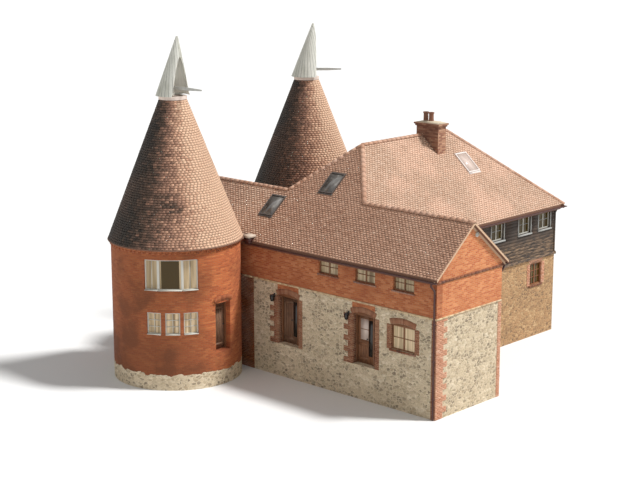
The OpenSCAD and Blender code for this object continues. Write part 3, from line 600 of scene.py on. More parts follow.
@dataclass(frozen=True)
class BandedWall(Finish):
    """Rubble up to a height, and brick above it.

    Attributes:
        brick: The brick part.
        rubble: The rubble part.
        top: Height where the rubble ends, in the frame.
        shade_side: Direction of a round wall's side that takes painted shade, in degrees, or None.
        within: How far from the axis the brick reaches, or None.
    """

    brick: Brickwork = Brickwork("brick")
    rubble: Rubble = Rubble("rubble")
    top: float = 0.0
    shade_side: float | None = None
    within: float | None = None

    def paint(self, graph: Graph) -> None:
        """Mix the two masonries by height, and lay stains and painted shade over the brick.

        Args:
            graph: Its nodes.
        """
        brick, brick_body = self.brick.cells(graph)
        stone, stone_body = self.rubble.cells(graph)
        where = graph.place()
        x, y, z = graph.split(where)
        mask = z + graph.noise(where, 2.0, 3.0) * 0.5 > self.top + 0.25
        if self.within is not None:
            middle_x, middle_y = self.brick.centre
            away = (x - middle_x) ** 2.0 + (y - middle_y) ** 2.0
            mask = mask * (away < self.within ** 2)
        share = graph.patches(where) * self.brick.stain_share
        # painted shade: more of the stain colour on the round wall's shaded side; the lower part
        # gets darker towards the foot
        if self.shade_side is not None:
            angle, _ = graph.wall_uv(self.brick.centre, 1.0)
            side = (angle - math.radians(self.shade_side)).cosine().level(0.0, 0.9)
            low = z.level(self.top + 2.0, self.top + 1.0)
            share = (low * 0.25 + (side * 0.55 + share)).least(1.0)
        colour = graph.mix(share * mask, graph.mix(mask, stone, brick), self.brick.stain_and_shade)
        fine = graph.noise(where, 30.0, 3.0)
        colour = graph.grained(colour, fine, 0.3, (0.82, 0.81, 0.8))
        graph.coat(colour, (1.0 - mask) * stone_body * 2.0 + mask * brick_body, 0.008)


@dataclass(frozen=True)
class ClayTile(Finish):
    """Clay tiles or bricks: each has its own tone, and weather lies over them in patches.

    Attributes:
        tones: Colours that a tile's tone runs through.
        lichen: Colour of the pale growth.
        lichen_share: How much of it there is.
        bleach: Colour that the weathered side tends to.
        bleach_share: How far it does.
    """

    tones: tuple[Colour, ...] = ()
    lichen: Colour = tint(196, 178, 150)
    lichen_share: float = 0.2
    bleach: Colour = tint(214, 186, 170)
    bleach_share: float = 0.3

    def paint(self, graph: Graph) -> None:
        """Wire tones, patches and grain.

        Args:
            graph: Its nodes.
        """
        colour = graph.out("Fac", "Attribute", attribute_name="tone").spread(self.tones)
        where = graph.place()
        soft = graph.noise(where, 0.55, 4.0, 0.6).level(0.4, 0.66)
        colour = graph.mix(soft * self.bleach_share, colour, self.bleach)
        spots = graph.noise(where, 4.5, 6.0, 0.7).level(0.56, 0.7)
        colour = graph.mix(spots * self.lichen_share, colour, self.lichen)
        grain = graph.noise(where, 60.0, 3.0)
        graph.coat(graph.grained(colour, grain, 0.2, (0.8,) * 3), grain, 0.002)


@dataclass(frozen=True)
class Plain(Finish):
    """A painted, sawn or cast surface with soft dirt and, if asked, grain along one axis.

    Attributes:
        colour: Main colour.
        dirt: Colour of the dirt.
        dirt_share: How much of it there is.
        grain: Stretch of the grain noise along x, y and z, or None for no grain.
        second: A colour that covers some places, or None.
    """

    colour: Colour = tint(200, 200, 200)
    dirt: Colour = tint(90, 84, 76)
    dirt_share: float = 0.2
    grain: Triple | None = None
    second: Colour | None = None

    def cover(self, graph: Graph) -> Value:
        """Give the share of the second colour at each place."""
        return 1.0

    def paint(self, graph: Graph) -> None:
        """Wire colour, dirt, grain and the second colour.

        Args:
            graph: Its nodes.
        """
        where = graph.place()
        soft = graph.noise(where, 2.2, 5.0, 0.6).level(0.45, 0.75)
        colour = graph.mix(soft * self.dirt_share, self.colour, self.dirt)
        streak = None
        if self.grain is not None:
            streak = graph.noise(graph.scaled(where, self.grain), 5.0)
            colour = graph.grained(colour, streak, 0.3, (0.72,) * 3)
        if self.second is not None:
            colour = graph.mix(self.cover(graph), colour, self.second)
        graph.coat(colour, streak, 0.002)


@dataclass(frozen=True)
class RoofEdge(Plain):
    """Underside and eaves of a roof, with pale mortar where its edge shows at a gable.

    Attributes:
        middle: Line of the gabled roof's ridge along y, in the frame.
        reach: How far that roof goes to each side of it.
    """

    middle: float = 0.0
    reach: float = 1.0

    def cover(self, graph: Graph) -> Value:
        """Give 1 where the face looks along the range, within the gabled roof."""
        nx, y = graph.split()[0], graph.split(graph.place())[1]
        return (abs(nx) > 0.9) * (abs(y - self.middle) < self.reach)


@dataclass(frozen=True)
class TwoPaints(Plain):
    """A surface with a second paint on the pieces behind the range and below a height.

    Attributes:
        behind: Where its pieces begin along y, in the frame.
        below: Height that they stay under, in the frame.
    """

    behind: float = 0.0
    below: float = 99.0

    def cover(self, graph: Graph) -> Value:
        """Give 1 on those pieces."""
        _, y, z = graph.split(graph.place())
        return (y > self.behind) * (z < self.below)


@dataclass(frozen=True)
class SunnyBoards(Plain):
    """Black boards with painted sunlight in streaks below a height, where the eaves give no shade.

    Attributes:
        top: Height where the streaks begin, in the frame.
    """

    top: float = 0.0

    def cover(self, graph: Graph) -> Value:
        """Give up to 0.6, by height and by long level streaks: the share of painted sunlight.

        Args:
            graph: Its nodes.

        Returns:
            The share.
        """
        where = graph.place()
        _, _, z = graph.split(where)
        streak = graph.noise(graph.scaled(where, (1.0, 1.0, 6.0)), 2.6, 5.0, 0.65)
        return z.level(self.top + 0.1, self.top - 0.5) * streak.level(0.42, 0.6) * 0.6


@dataclass(frozen=True)
class CowlBoards(Plain):
    """White painted boards, which taper upwards round a cowl, with dark joints between them.

    Attributes:
        shaded: Colour of the dullest board.
        joint: Colour of the joints.
        inner: Colour of the inside, a pale painted light on its shaded faces.
        centre: Axis of the cowl.
        boards: How many boards stand round it.
    """

    shaded: Colour = tint(222, 221, 212)
    joint: Colour = tint(96, 94, 88)
    inner: Colour = tint(246, 245, 236)
    centre: Pair = (0.0, 0.0)
    boards: int = 26

    def paint(self, graph: Graph) -> None:
        """Wire the boards: the angle round the axis, times the boards, over a full turn.

        Faces that look to the axis take the inner colour: painted light on the shaded inside.

        Args:
            graph: Its nodes.
        """
        where = graph.place()
        x, y, _ = graph.split(where)
        angle = (y - self.centre[1]).arctan(x - self.centre[0])
        at = angle * (self.boards / math.tau)
        body = at.edge().level(0.02, 0.07)
        chance = graph.out("Value", "TexWhiteNoise", {"W": at.floor()}, noise_dimensions="1D")
        plank = chance.spread((self.shaded, self.colour))
        soft = graph.noise(graph.scaled(where, (3.0, 3.0, 0.5)), 1.4, 5.0).level(0.45, 0.75)
        streak = graph.noise(graph.scaled(where, (9.0, 9.0, 0.35)), 5.0)
        colour = graph.mix(soft * self.dirt_share, plank, self.dirt)
        colour = graph.grained(colour, streak, 0.3, (0.84, 0.84, 0.83))
        nx, ny, _ = graph.split()
        # painted light: the inside faces are made paler than the outside boards
        inside = nx * angle.cosine() + ny * angle.sine() < -0.3
        colour = graph.mix(inside * 0.85, graph.mix(body, self.joint, colour), self.inner)
        graph.coat(colour, body + streak * 0.2, 0.006)


@dataclass(frozen=True)
class Glazing(Finish):
    """Window glass: a dim room in painted shade with painted reflection, and pale blinds in places.

    Attributes:
        deep: Colour where the room shows, painted shade.
        reflection_tint: Colour of the light patches there, which are painted reflection.
        cloth: Position and colour of the blinds' folds: painted shade in hollows, light on crests.
        blinds: Boxes with pale blinds, each as its lowest and highest corner in the frame, and
            how far they hide the room.
    """

    deep: Colour = tint(72, 55, 15)
    reflection_tint: Colour = tint(106, 98, 52)
    cloth: tuple[tuple[float, Colour], ...] = ((0.3, tint(150, 126, 94)), (0.5, tint(204, 180, 142)),
                                               (0.66, tint(238, 213, 175)))
    blinds: tuple[tuple[Triple, Triple, float], ...] = ()

    def paint(self, graph: Graph) -> None:
        """Wire the room, and the blinds with their folds.

        Args:
            graph: Its nodes.
        """
        where = graph.place()
        # painted reflection: light patches over the room's painted shade
        haze = graph.noise(where, 0.9, 1.0).level(0.4, 0.7)
        colour = graph.mix(haze * 0.35, self.deep, self.reflection_tint)
        # painted shade and light in the blinds' folds
        folds = graph.noise(graph.scaled(where, (1.0, 1.0, 0.03)), 11.0, 2.0, 0.5)
        covered: Value = 0.0
        parts = graph.split(where)
        for low, high, share in self.blinds:
            inside: Value = share
            for part, a, b in zip(parts, low, high):
                inside = (part > a) * (part < b) * inside
            covered = inside.most(covered)
        graph.coat(graph.mix(covered, colour, folds.ramp(self.cloth)))
        graph.shader.inputs["Specular IOR Level"].default_value = 0.3


KILN_TONES = shades((208, 115, 66), (200, 106, 59), (216, 127, 74), (191, 98, 56), (205, 112, 64),
                    (180, 92, 53))
FRONT_TONES = shades((186, 108, 64), (194, 118, 74), (176, 98, 58), (200, 128, 84), (168, 90, 54))
RANGE_TONES = shades((211, 128, 78), (219, 138, 87), (203, 118, 71), (225, 148, 97),
                     (196, 109, 66))
DRESSED_TONES = shades((150, 98, 70), (166, 114, 84), (136, 84, 60), (176, 128, 98))
SUNNY_TONES = shades((208, 148, 116), (218, 162, 132), (198, 136, 104), (226, 178, 150))
STACK_TONES = shades((190, 140, 112), (172, 118, 92), (206, 160, 130), (152, 102, 82))
STONES = shades((150, 134, 112), (172, 155, 130), (190, 170, 141), (206, 187, 156),
                (216, 197, 166), (224, 205, 175), (236, 220, 194))
MAIN_STONES = shades((140, 110, 82), (160, 124, 90), (178, 138, 98), (190, 148, 106),
                     (200, 160, 116), (212, 176, 132))
ROOF_TONES = shades((172, 128, 104), (188, 144, 118), (200, 156, 130), (212, 172, 146),
                    (230, 194, 168))
EAST_TONES = shades((200, 160, 132), (212, 174, 147), (220, 184, 157), (228, 194, 169),
                    (236, 206, 182))
# The cone's tones run from painted shade on its dark side to painted light on its lit side.
CONE_TONES = shades((49, 42, 35), (98, 77, 64), (160, 120, 100), (214, 167, 138), (244, 204, 172))
SHADED_TONES = shades((124, 66, 24), (136, 76, 28), (112, 58, 22))
# Dark brick for the sill courses and the gable band; on the gable band it is partly painted shadow.
DARK_TONES = shades((120, 72, 50), (146, 90, 60), (104, 62, 48))
COURSE_TONES = shades((168, 94, 56), (182, 106, 64), (150, 82, 50))
SANDY_TONES = shades((212, 184, 140), (226, 202, 160), (200, 168, 124))
BROWN = tint(138, 86, 54)
MAIN_FRONT = PLAN.kiln[1] + PLAN.rear

BRICK_RED = Brickwork("range_brickwork", tones=RANGE_TONES, mortar=tint(214, 166, 126),
                      stain_and_shade=tint(176, 98, 58), stain_share=0.3)
# The chimney's front faces take painted shade in the stain colour.
STACK_BRICK = Brickwork("chimney_brickwork", tones=STACK_TONES, mortar=tint(170, 140, 112),
                        stain_and_shade=tint(88, 54, 44), stain_share=0.35, shade_to_front=0.4)
FRONT_BRICK = Brickwork("front_brickwork", tones=FRONT_TONES, mortar=tint(186, 136, 98),
                        stain_and_shade=tint(150, 78, 44))
RUBBLE = Rubble("rubble_wall", stones=STONES, mortar=tint(230, 212, 182))
MAIN_RUBBLE = Rubble("main_rubble", stones=MAIN_STONES, mortar=tint(194, 158, 116))
TILES = ClayTile("range_tiles", tones=ROOF_TONES, bleach=tint(224, 184, 158), bleach_share=0.25,
                 lichen=tint(166, 136, 110), lichen_share=0.3)
EAST_TILES = ClayTile("sunny_tiles", tones=EAST_TONES, bleach=tint(250, 206, 178),
                      bleach_share=0.65, lichen=tint(196, 154, 122), lichen_share=0.25)
CONE_TILES = ClayTile("cone_tiles", tones=CONE_TONES, bleach=tint(176, 132, 108),
                      bleach_share=0.12, lichen=tint(176, 150, 124))
RIDGE_TILES = ClayTile("ridge_tiles", tones=ROOF_TONES, lichen=tint(226, 200, 174),
                       lichen_share=0.15)
DRESSED_BRICK = ClayTile("dressed_brick", tones=DRESSED_TONES, bleach=tint(180, 142, 110),
                         lichen=tint(164, 130, 100))
SUNNY_BRICK = ClayTile("sunny_brick", tones=SUNNY_TONES, bleach=tint(226, 182, 148),
                       bleach_share=0.35, lichen=tint(216, 178, 146))
SHADED_BRICK = ClayTile("shaded_brick", tones=SHADED_TONES, lichen_share=0.05)
DARK_COURSE = ClayTile("dark_course", tones=DARK_TONES, lichen_share=0.1)
KILN_COURSE = ClayTile("kiln_course", tones=COURSE_TONES, bleach=tint(150, 96, 70),
                       lichen_share=0.05)
SANDSTONE = ClayTile("sandy_course", tones=SANDY_TONES, lichen_share=0.1)
SLAB = RoofEdge("roof_edge", colour=tint(122, 88, 70),
                second=tint(202, 170, 140), middle=PLAN.kiln[1] + PLAN.ridge_y,
                reach=PLAN.depth / 2 + PLAN.eave_out + 0.1)
CURB = Plain("curb_lead", rough=0.6, colour=tint(226, 208, 196))
WHITE = Plain("vane_paint", rough=0.55, colour=tint(206, 206, 200), dirt=tint(140, 136, 124),
              dirt_share=0.25, grain=(9.0, 9.0, 0.35))
FRAME_WHITE = Plain("white_joinery", rough=0.5, colour=tint(206, 204, 194), dirt_share=0.1)
TIMBER = Plain("stained_joinery", rough=0.6, colour=tint(138, 92, 60), dirt=tint(78, 50, 34),
               dirt_share=0.5, grain=(9.0, 9.0, 0.8))
DARK_TIMBER = Plain("dark_planks", rough=0.65, colour=tint(126, 92, 68), dirt=tint(58, 40, 30),
                    dirt_share=0.5, grain=(12.0, 12.0, 0.6))
# The second colour is painted sunlight on the boards below the eaves' shade.
BOARDING = SunnyBoards("black_boarding", rough=0.75, colour=tint(58, 46, 37),
                       dirt=tint(106, 82, 62), dirt_share=0.4, grain=(1.2, 1.2, 14.0),
                       second=tint(158, 128, 98), top=PLAN.floor + PLAN.main_eave - 1.2)
FLOORING = Plain("floor_boards", colour=tint(150, 118, 84), dirt_share=0.3, grain=(0.6, 9.0, 1.0))
GUTTER = Plain("dark_rainwater", rough=0.45, colour=tint(74, 36, 30))
LEAD = Plain("lead_sheet", rough=0.6, colour=tint(198, 180, 162))
TRIM_WHITE = TwoPaints("faded_trim", rough=0.6, colour=tint(164, 164, 160),
                       second=BROWN, behind=MAIN_FRONT, below=PLAN.floor + PLAN.ledge)
FRAME_PAINT = TwoPaints("window_paint", rough=0.5, colour=tint(206, 204, 194), dirt_share=0.1,
                        second=BROWN, behind=MAIN_FRONT, below=PLAN.floor + PLAN.ledge)
FLASHING = TwoPaints("roof_window_frame", rough=0.5, colour=tint(80, 70, 64),
                     second=tint(222, 212, 206), behind=MAIN_FRONT)
# Pale glass that stands for painted reflection, on the sunny roof window and the glazed door.
SKY_REFLECTION_GLASS = Plain("roof_window_glass", rough=0.15, colour=tint(212, 192, 180), dirt_share=0.15)
DIM_GLASS = Plain("shaded_glass", rough=0.12, colour=tint(96, 92, 88), dirt=tint(196, 192, 186),
                  dirt_share=0.55)
# Dark glass of the lanterns, and painted shade as the dark pane on the range's leaves.
DARK_GLASS = Plain("dark_glass", rough=0.15, colour=tint(38, 36, 34))
CLAY = Plain("pot_clay", colour=tint(136, 94, 74), dirt_share=0.4)
MORTAR = Plain("pale_mortar", colour=tint(206, 190, 164), dirt_share=0.3)
IRON = Plain("black_iron", rough=0.5, colour=tint(40, 36, 34))


# Meshes


BOX_QUADS = np.array([[0, 3, 2, 1], [4, 5, 6, 7], [0, 1, 5, 4], [1, 2, 6, 5], [2, 3, 7, 6],
                      [3, 0, 4, 7]])
WEDGE_QUADS = np.array([[0, 3, 2, 1], [0, 1, 5, 4], [4, 5, 2, 3]])
WEDGE_TRIS = np.array([[0, 4, 3], [1, 2, 5]])


@dataclass
class Solids:
    """Many small closed solids of one piece, gathered as whole arrays.

    Attributes:
        name: Name of the piece.
        points, quads, tris, tones, count: What has been gathered so far.
    """

    name: str
    points: list[Array] = field(default_factory=list)
    quads: list[NDArray[np.int64]] = field(default_factory=list)
    tris: list[NDArray[np.int64]] = field(default_factory=list)
    tones: list[Array] = field(default_factory=list)
    count: int = 0

    def add(self, corners: Array, quads: NDArray[np.int64], tris: NDArray[np.int64] | None = None,
            tone: Amount = 0.5) -> None:
        """Add copies of one solid.

        Args:
            corners: Points in the frame, as copies by corners by 3.
            quads: Corner numbers of the four-sided faces of one copy.
            tris: The same for its three-sided faces.
            tone: Tone of each copy.
        """
        copies, each = corners.shape[:2]
        start = self.count + np.arange(copies) * each
        self.points.append(corners.reshape(-1, 3))
        self.quads.append((start[:, None, None] + quads[None]).reshape(-1, 4))
        if tris is not None:
            self.tris.append((start[:, None, None] + tris[None]).reshape(-1, 3))
        self.tones.append(np.repeat(np.broadcast_to(np.asarray(tone, float), (copies,)), each))
        self.count += copies * each

    def prism(self, ring_a: Array, ring_b: Array, tone: Amount = 0.5) -> None:
        """Add closed prisms between rings of as many points, given as copies by points by 3.

        Args:
            ring_a: One end of each.
            ring_b: The other end.
            tone: Tone of each.
        """
        m = ring_a.shape[1]
        i = np.arange(m)
        sides = np.stack([i, (i + 1) % m, m + (i + 1) % m, m + i], axis=1)
        j = np.arange(1, m - 1)
        zero = np.zeros_like(j)
        caps = np.concatenate([np.stack([zero, j + 1, j], axis=1),
                               np.stack([zero + m, j + m, j + 1 + m], axis=1)])
        self.add(np.concatenate([ring_a, ring_b], axis=1), sides, caps, tone)

    def build(self, finish: Finish, slot: Slot, body: str = "building") -> None:
        """Make the piece, give it its finish and let it ride on a body.

        Args:
            finish: What it looks like.
            slot: Not used.
            body: The moving body that carries it.
        """
        faces = [face for part in (*self.quads, *self.tris) for face in part.tolist()]
        mesh = bpy.data.meshes.new(self.name)
        mesh.from_pydata(np.concatenate(self.points), [], faces, shade_flat=False)
        tone = mesh.attributes.new("tone", "FLOAT", "POINT")
        tone.data.foreach_set("value", np.concatenate(self.tones).astype(np.float32))
        work = bmesh.new()
        work.from_mesh(mesh)
        bmesh.ops.recalc_face_normals(work, faces=work.faces)
        work.to_mesh(mesh)
        work.free()
        mesh.materials.append(finish.material())
        made = bpy.data.objects.new(self.name, mesh)
        bpy.context.scene.collection.objects.link(made)
        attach(made, body)
        LOG.info("%s: %d faces", self.name, len(faces))


# Roofs


@dataclass
class Slope:
    """One plane of a roof, with its edges as lines of place along it by distance up it.

    A point is origin + s * along + t * up, and stands off the plane by h * normal.

    Attributes:
        name: Name of the tiled piece.
        origin: Where s and t are 0, on the eave, from the plan's own zero.
        along: Unit vector along the eave.
        inward: Level unit vector from the eave to the ridge.
        pitch: Angle of the plane.
        knots: Distances up the slope, in rising order.
        low, high: Least and greatest s at each knot.
        finish: What the tiles look like.
        gauge: Height of a row.
        width: Width of a tile with its joint.
        joint: Width of the joint.
        lift: How far a tile's tail stands off the plane.
        lap: Length of a tile, in rows.
        bed: How far the tiles run on into a kiln or the chimney.
        seed: Where the chances start.
        pale: Where the tiles are at their palest along the slope, as painted light, or None.
    """

    name: str
    origin: Triple
    along: Triple
    inward: Triple
    pitch: float
    knots: tuple[float, ...]
    low: tuple[float, ...]
    high: tuple[float, ...]
    finish: Finish = TILES
    gauge: float = 0.1
    width: float = 0.165
    joint: float = 0.004
    lift: float = 0.016
    lap: float = 1.25
    bed: float = 0.12
    seed: int = 1
    pale: float | None = None

    def at(self, s: Amount, t: Amount, h: Amount) -> Array:
        """Give points of the plane in the frame, by the formula above.

        Args:
            s, t, h: Places along it, up it and off it.

        Returns:
            The points.
        """
        level, rise = np.array(self.inward), np.array([0, 0, 1])
        cos, sin = math.cos(self.pitch), math.sin(self.pitch)
        up, normal = level * cos + rise * sin, rise * cos - level * sin
        s, t, h = (np.asarray(v, float)[..., None] for v in np.broadcast_arrays(s, t, h))
        return PLAN.place(np.array(self.origin) + s * np.array(self.along) + t * up + h * normal)

    def edges(self, t: Array) -> tuple[Array, Array]:
        """Give the least and greatest s at distances up the slope."""
        return np.interp(t, self.knots, self.low), np.interp(t, self.knots, self.high)

    def tiles(self) -> None:
        """Lay the tiles.

        Row k starts k gauges up, and every other row is moved by half a tile. A tile is a wedge:
        its tail stands off the plane by the lift, and its head runs down into it under the next
        row. Its sides are held between the slope's edges, so tiles are cut at hips and valleys.
        Its tone is a chance, plus painted light near the palest place: 0.5 exp(-(away / 1.6)^2).
        """
        rng = np.random.default_rng(self.seed)
        top = self.knots[-1]
        rows = max(1, round(top / self.gauge))
        gauge = top / rows
        left, right = min(self.low), max(self.high)
        columns = math.ceil((right - left) / self.width) + 2
        row, column = (a.ravel() for a in np.meshgrid(np.arange(rows), np.arange(columns),
                                                      indexing="ij"))
        s0 = left + (column - 0.5 * (row % 2)) * self.width
        s1 = s0 + self.width - self.joint
        t0 = row * gauge + rng.normal(0, 0.0025, row.size) * (row > 0)
        t1 = np.minimum(t0 + self.lap * gauge, top)
        lo0, hi0 = self.edges(t0)
        lo1, hi1 = self.edges(t1)
        a0, b0 = np.clip(s0, lo0, hi0), np.clip(s1, lo0, hi0)
        a1, b1 = np.clip(s0, lo1, hi1), np.clip(s1, lo1, hi1)
        keep = ((b0 - a0) + (b1 - a1)) > 0.02
        keep &= ~self.hidden((s0 + s1) / 2, t0)
        a0, b0, a1, b1, t0, t1 = (v[keep] for v in (a0, b0, a1, b1, t0, t1))
        lift = self.lift + rng.normal(0, 0.0022, t0.size)
        skew = rng.normal(0, 0.0015, t0.size)
        corners = [self.at(a0, t0, 0.0), self.at(b0, t0, 0.0), self.at(b1, t1, 0.0),
                   self.at(a1, t1, 0.0), self.at(a0, t0, lift - skew),
                   self.at(b0, t0, lift + skew)]
        made = Solids(self.name)
        tone = rng.normal(0.45, 0.14, t0.size)
        # painted light: tiles near the pale place are made paler
        if self.pale is not None:
            tone += 0.5 * np.exp(-(((a0 + b0) / 2 - self.pale) / 1.6) ** 2)
        made.add(np.stack(corners, axis=1), WEDGE_QUADS, WEDGE_TRIS, np.clip(tone, 0, 1))
        made.build(self.finish, Slot.TILE)

    def slab(self, made: Solids, s0: float, s1: float, t0: float, t1: float, h0: float,
             h1: float) -> None:
        """Add a flat block that lies on the slope.

        Args:
            made: The piece that takes it.
            s0, s1, t0, t1, h0, h1: Its ends along the slope, up it and off it.
        """
        s = np.array([s0, s1, s1, s0] * 2)
        t = np.array([t0, t0, t1, t1] * 2)
        h = np.array([h0] * 4 + [h1] * 4)
        made.add(self.at(s, t, h)[None], BOX_QUADS)

    def hidden(self, s: Array, t: Array) -> NDArray[np.bool_]:
        """Say which places lie inside a kiln or the chimney.

        Args:
            s, t: The places along the slope and up it.

        Returns:
            True for each one that does.
        """
        p, bed = PLAN, self.bed
        x, y, z = self.at(s, t, 0.0).T
        low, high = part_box("chimney_stack")
        inside = (x > low.x + bed) & (x < high.x - bed) & (y > low.y + bed) & (y < high.y - bed)
        for centre, drop in ((p.kiln, 0.0), (p.kiln_2, p.kiln_drop)):
            share = np.clip((z - p.floor - p.kiln_eave + drop) / p.kiln_rise, 0, 1)
            cone = p.eave_r + (p.top_r - p.eave_r) * share
            inside |= np.hypot(x - centre[0], y - centre[1]) < cone - bed
        return inside


@dataclass
class Cone:
    """Tiles round a kiln's cone, in level rows above the double course at its eaves.

    Attributes:
        name: Name of the piece.
        centre: The kiln's axis in the frame.
        drop: How much lower this kiln stands.
        seed: Where the chances start.
        lit_side: Direction of the side painted pale as lit, in degrees; the other is painted shade.
        moss: Middles of dark patches: direction in degrees, and share of the slant.
        gauge, width, lift, lap: Sizes of the tiles, as on a slope.
    """

    name: str
    centre: Pair
    drop: float
    seed: int
    lit_side: float = 38.0
    moss: tuple[Pair, ...] = ()
    gauge: float = 0.1
    width: float = 0.165
    lift: float = 0.016
    lap: float = 1.25

    def at(self, angle: Array, t: Array, h: Amount) -> Array:
        """Give points of the cone: its radius shrinks and its height grows with the slant.

        Args:
            angle: Their directions in radians.
            t, h: Their places up the slant and off it.

        Returns:
            The points.
        """
        p = PLAN
        slant = math.hypot(p.kiln_rise, p.eave_r - p.top_r)
        side, rise = (p.eave_r - p.top_r) / slant, p.kiln_rise / slant
        z = p.floor + p.kiln_eave - self.drop + t * rise + h * side
        return around(self.centre, p.eave_r - p.lip_out - t * side + h * rise, angle, z)

    def tiles(self) -> None:
        """Lay the tiles: each row holds as many whole tiles as its girth takes.

        A tile's tone is 0.5 + 0.8 cos(angle - bright) and a chance part, held between 0 and 1,
        so that the lit side is painted pale and the other one painted dark as shade. Near a patch
        of moss it loses up to 0.45 exp(-(away / 0.42)^2), with the distance away in metres.
        """
        rng = np.random.default_rng(self.seed)
        p = PLAN
        slant = math.hypot(p.kiln_rise, p.eave_r - p.top_r)
        start_t = p.lip * slant / p.kiln_rise
        rows = round((slant - start_t) / self.gauge)
        gauge = (slant - start_t) / rows
        girth = math.tau * (p.eave_r - (p.eave_r - p.top_r) * np.arange(rows) / rows)
        counts = np.maximum(8, np.round(girth / self.width)).astype(int)
        row = np.repeat(np.arange(rows), counts)
        number = np.arange(row.size) - np.repeat(np.cumsum(counts) - counts, counts)
        step = math.tau / counts[row]
        a0 = (number + rng.random(rows)[row]) * step
        a1 = a0 + step * 0.975
        t0 = start_t + row * gauge + rng.normal(0, 0.003, row.size) * (row > 0)
        t1 = np.minimum(t0 + self.lap * gauge, slant)
        lift = self.lift + rng.normal(0, 0.002, row.size) * (row > 0)
        corners = [self.at(a0, t0, 0.0), self.at(a1, t0, 0.0), self.at(a1, t1, 0.0),
                   self.at(a0, t1, 0.0), self.at(a0, t0, lift), self.at(a1, t0, lift)]
        # painted light and shade: tiles towards the lit side are paler, those away from it darker
        side = 0.5 + 0.8 * np.cos((a0 + a1) / 2 - math.radians(self.lit_side))
        tone = np.clip(side + rng.normal(0, 0.09, row.size), 0, 1)
        for azimuth, share in self.moss:
            radius = p.eave_r + (p.top_r - p.eave_r) * share
            away = np.hypot(((a0 - math.radians(azimuth) + math.pi) % math.tau - math.pi) * radius,
                            t0 - share * slant)
            tone -= 0.45 * rng.random(row.size) * np.exp(-(away / 0.42) ** 2)
        made = Solids(self.name)
        made.add(np.stack(corners, axis=1), WEDGE_QUADS, WEDGE_TRIS, np.clip(tone, 0, 1))
        made.build(CONE_TILES, Slot.KILN_TILE)


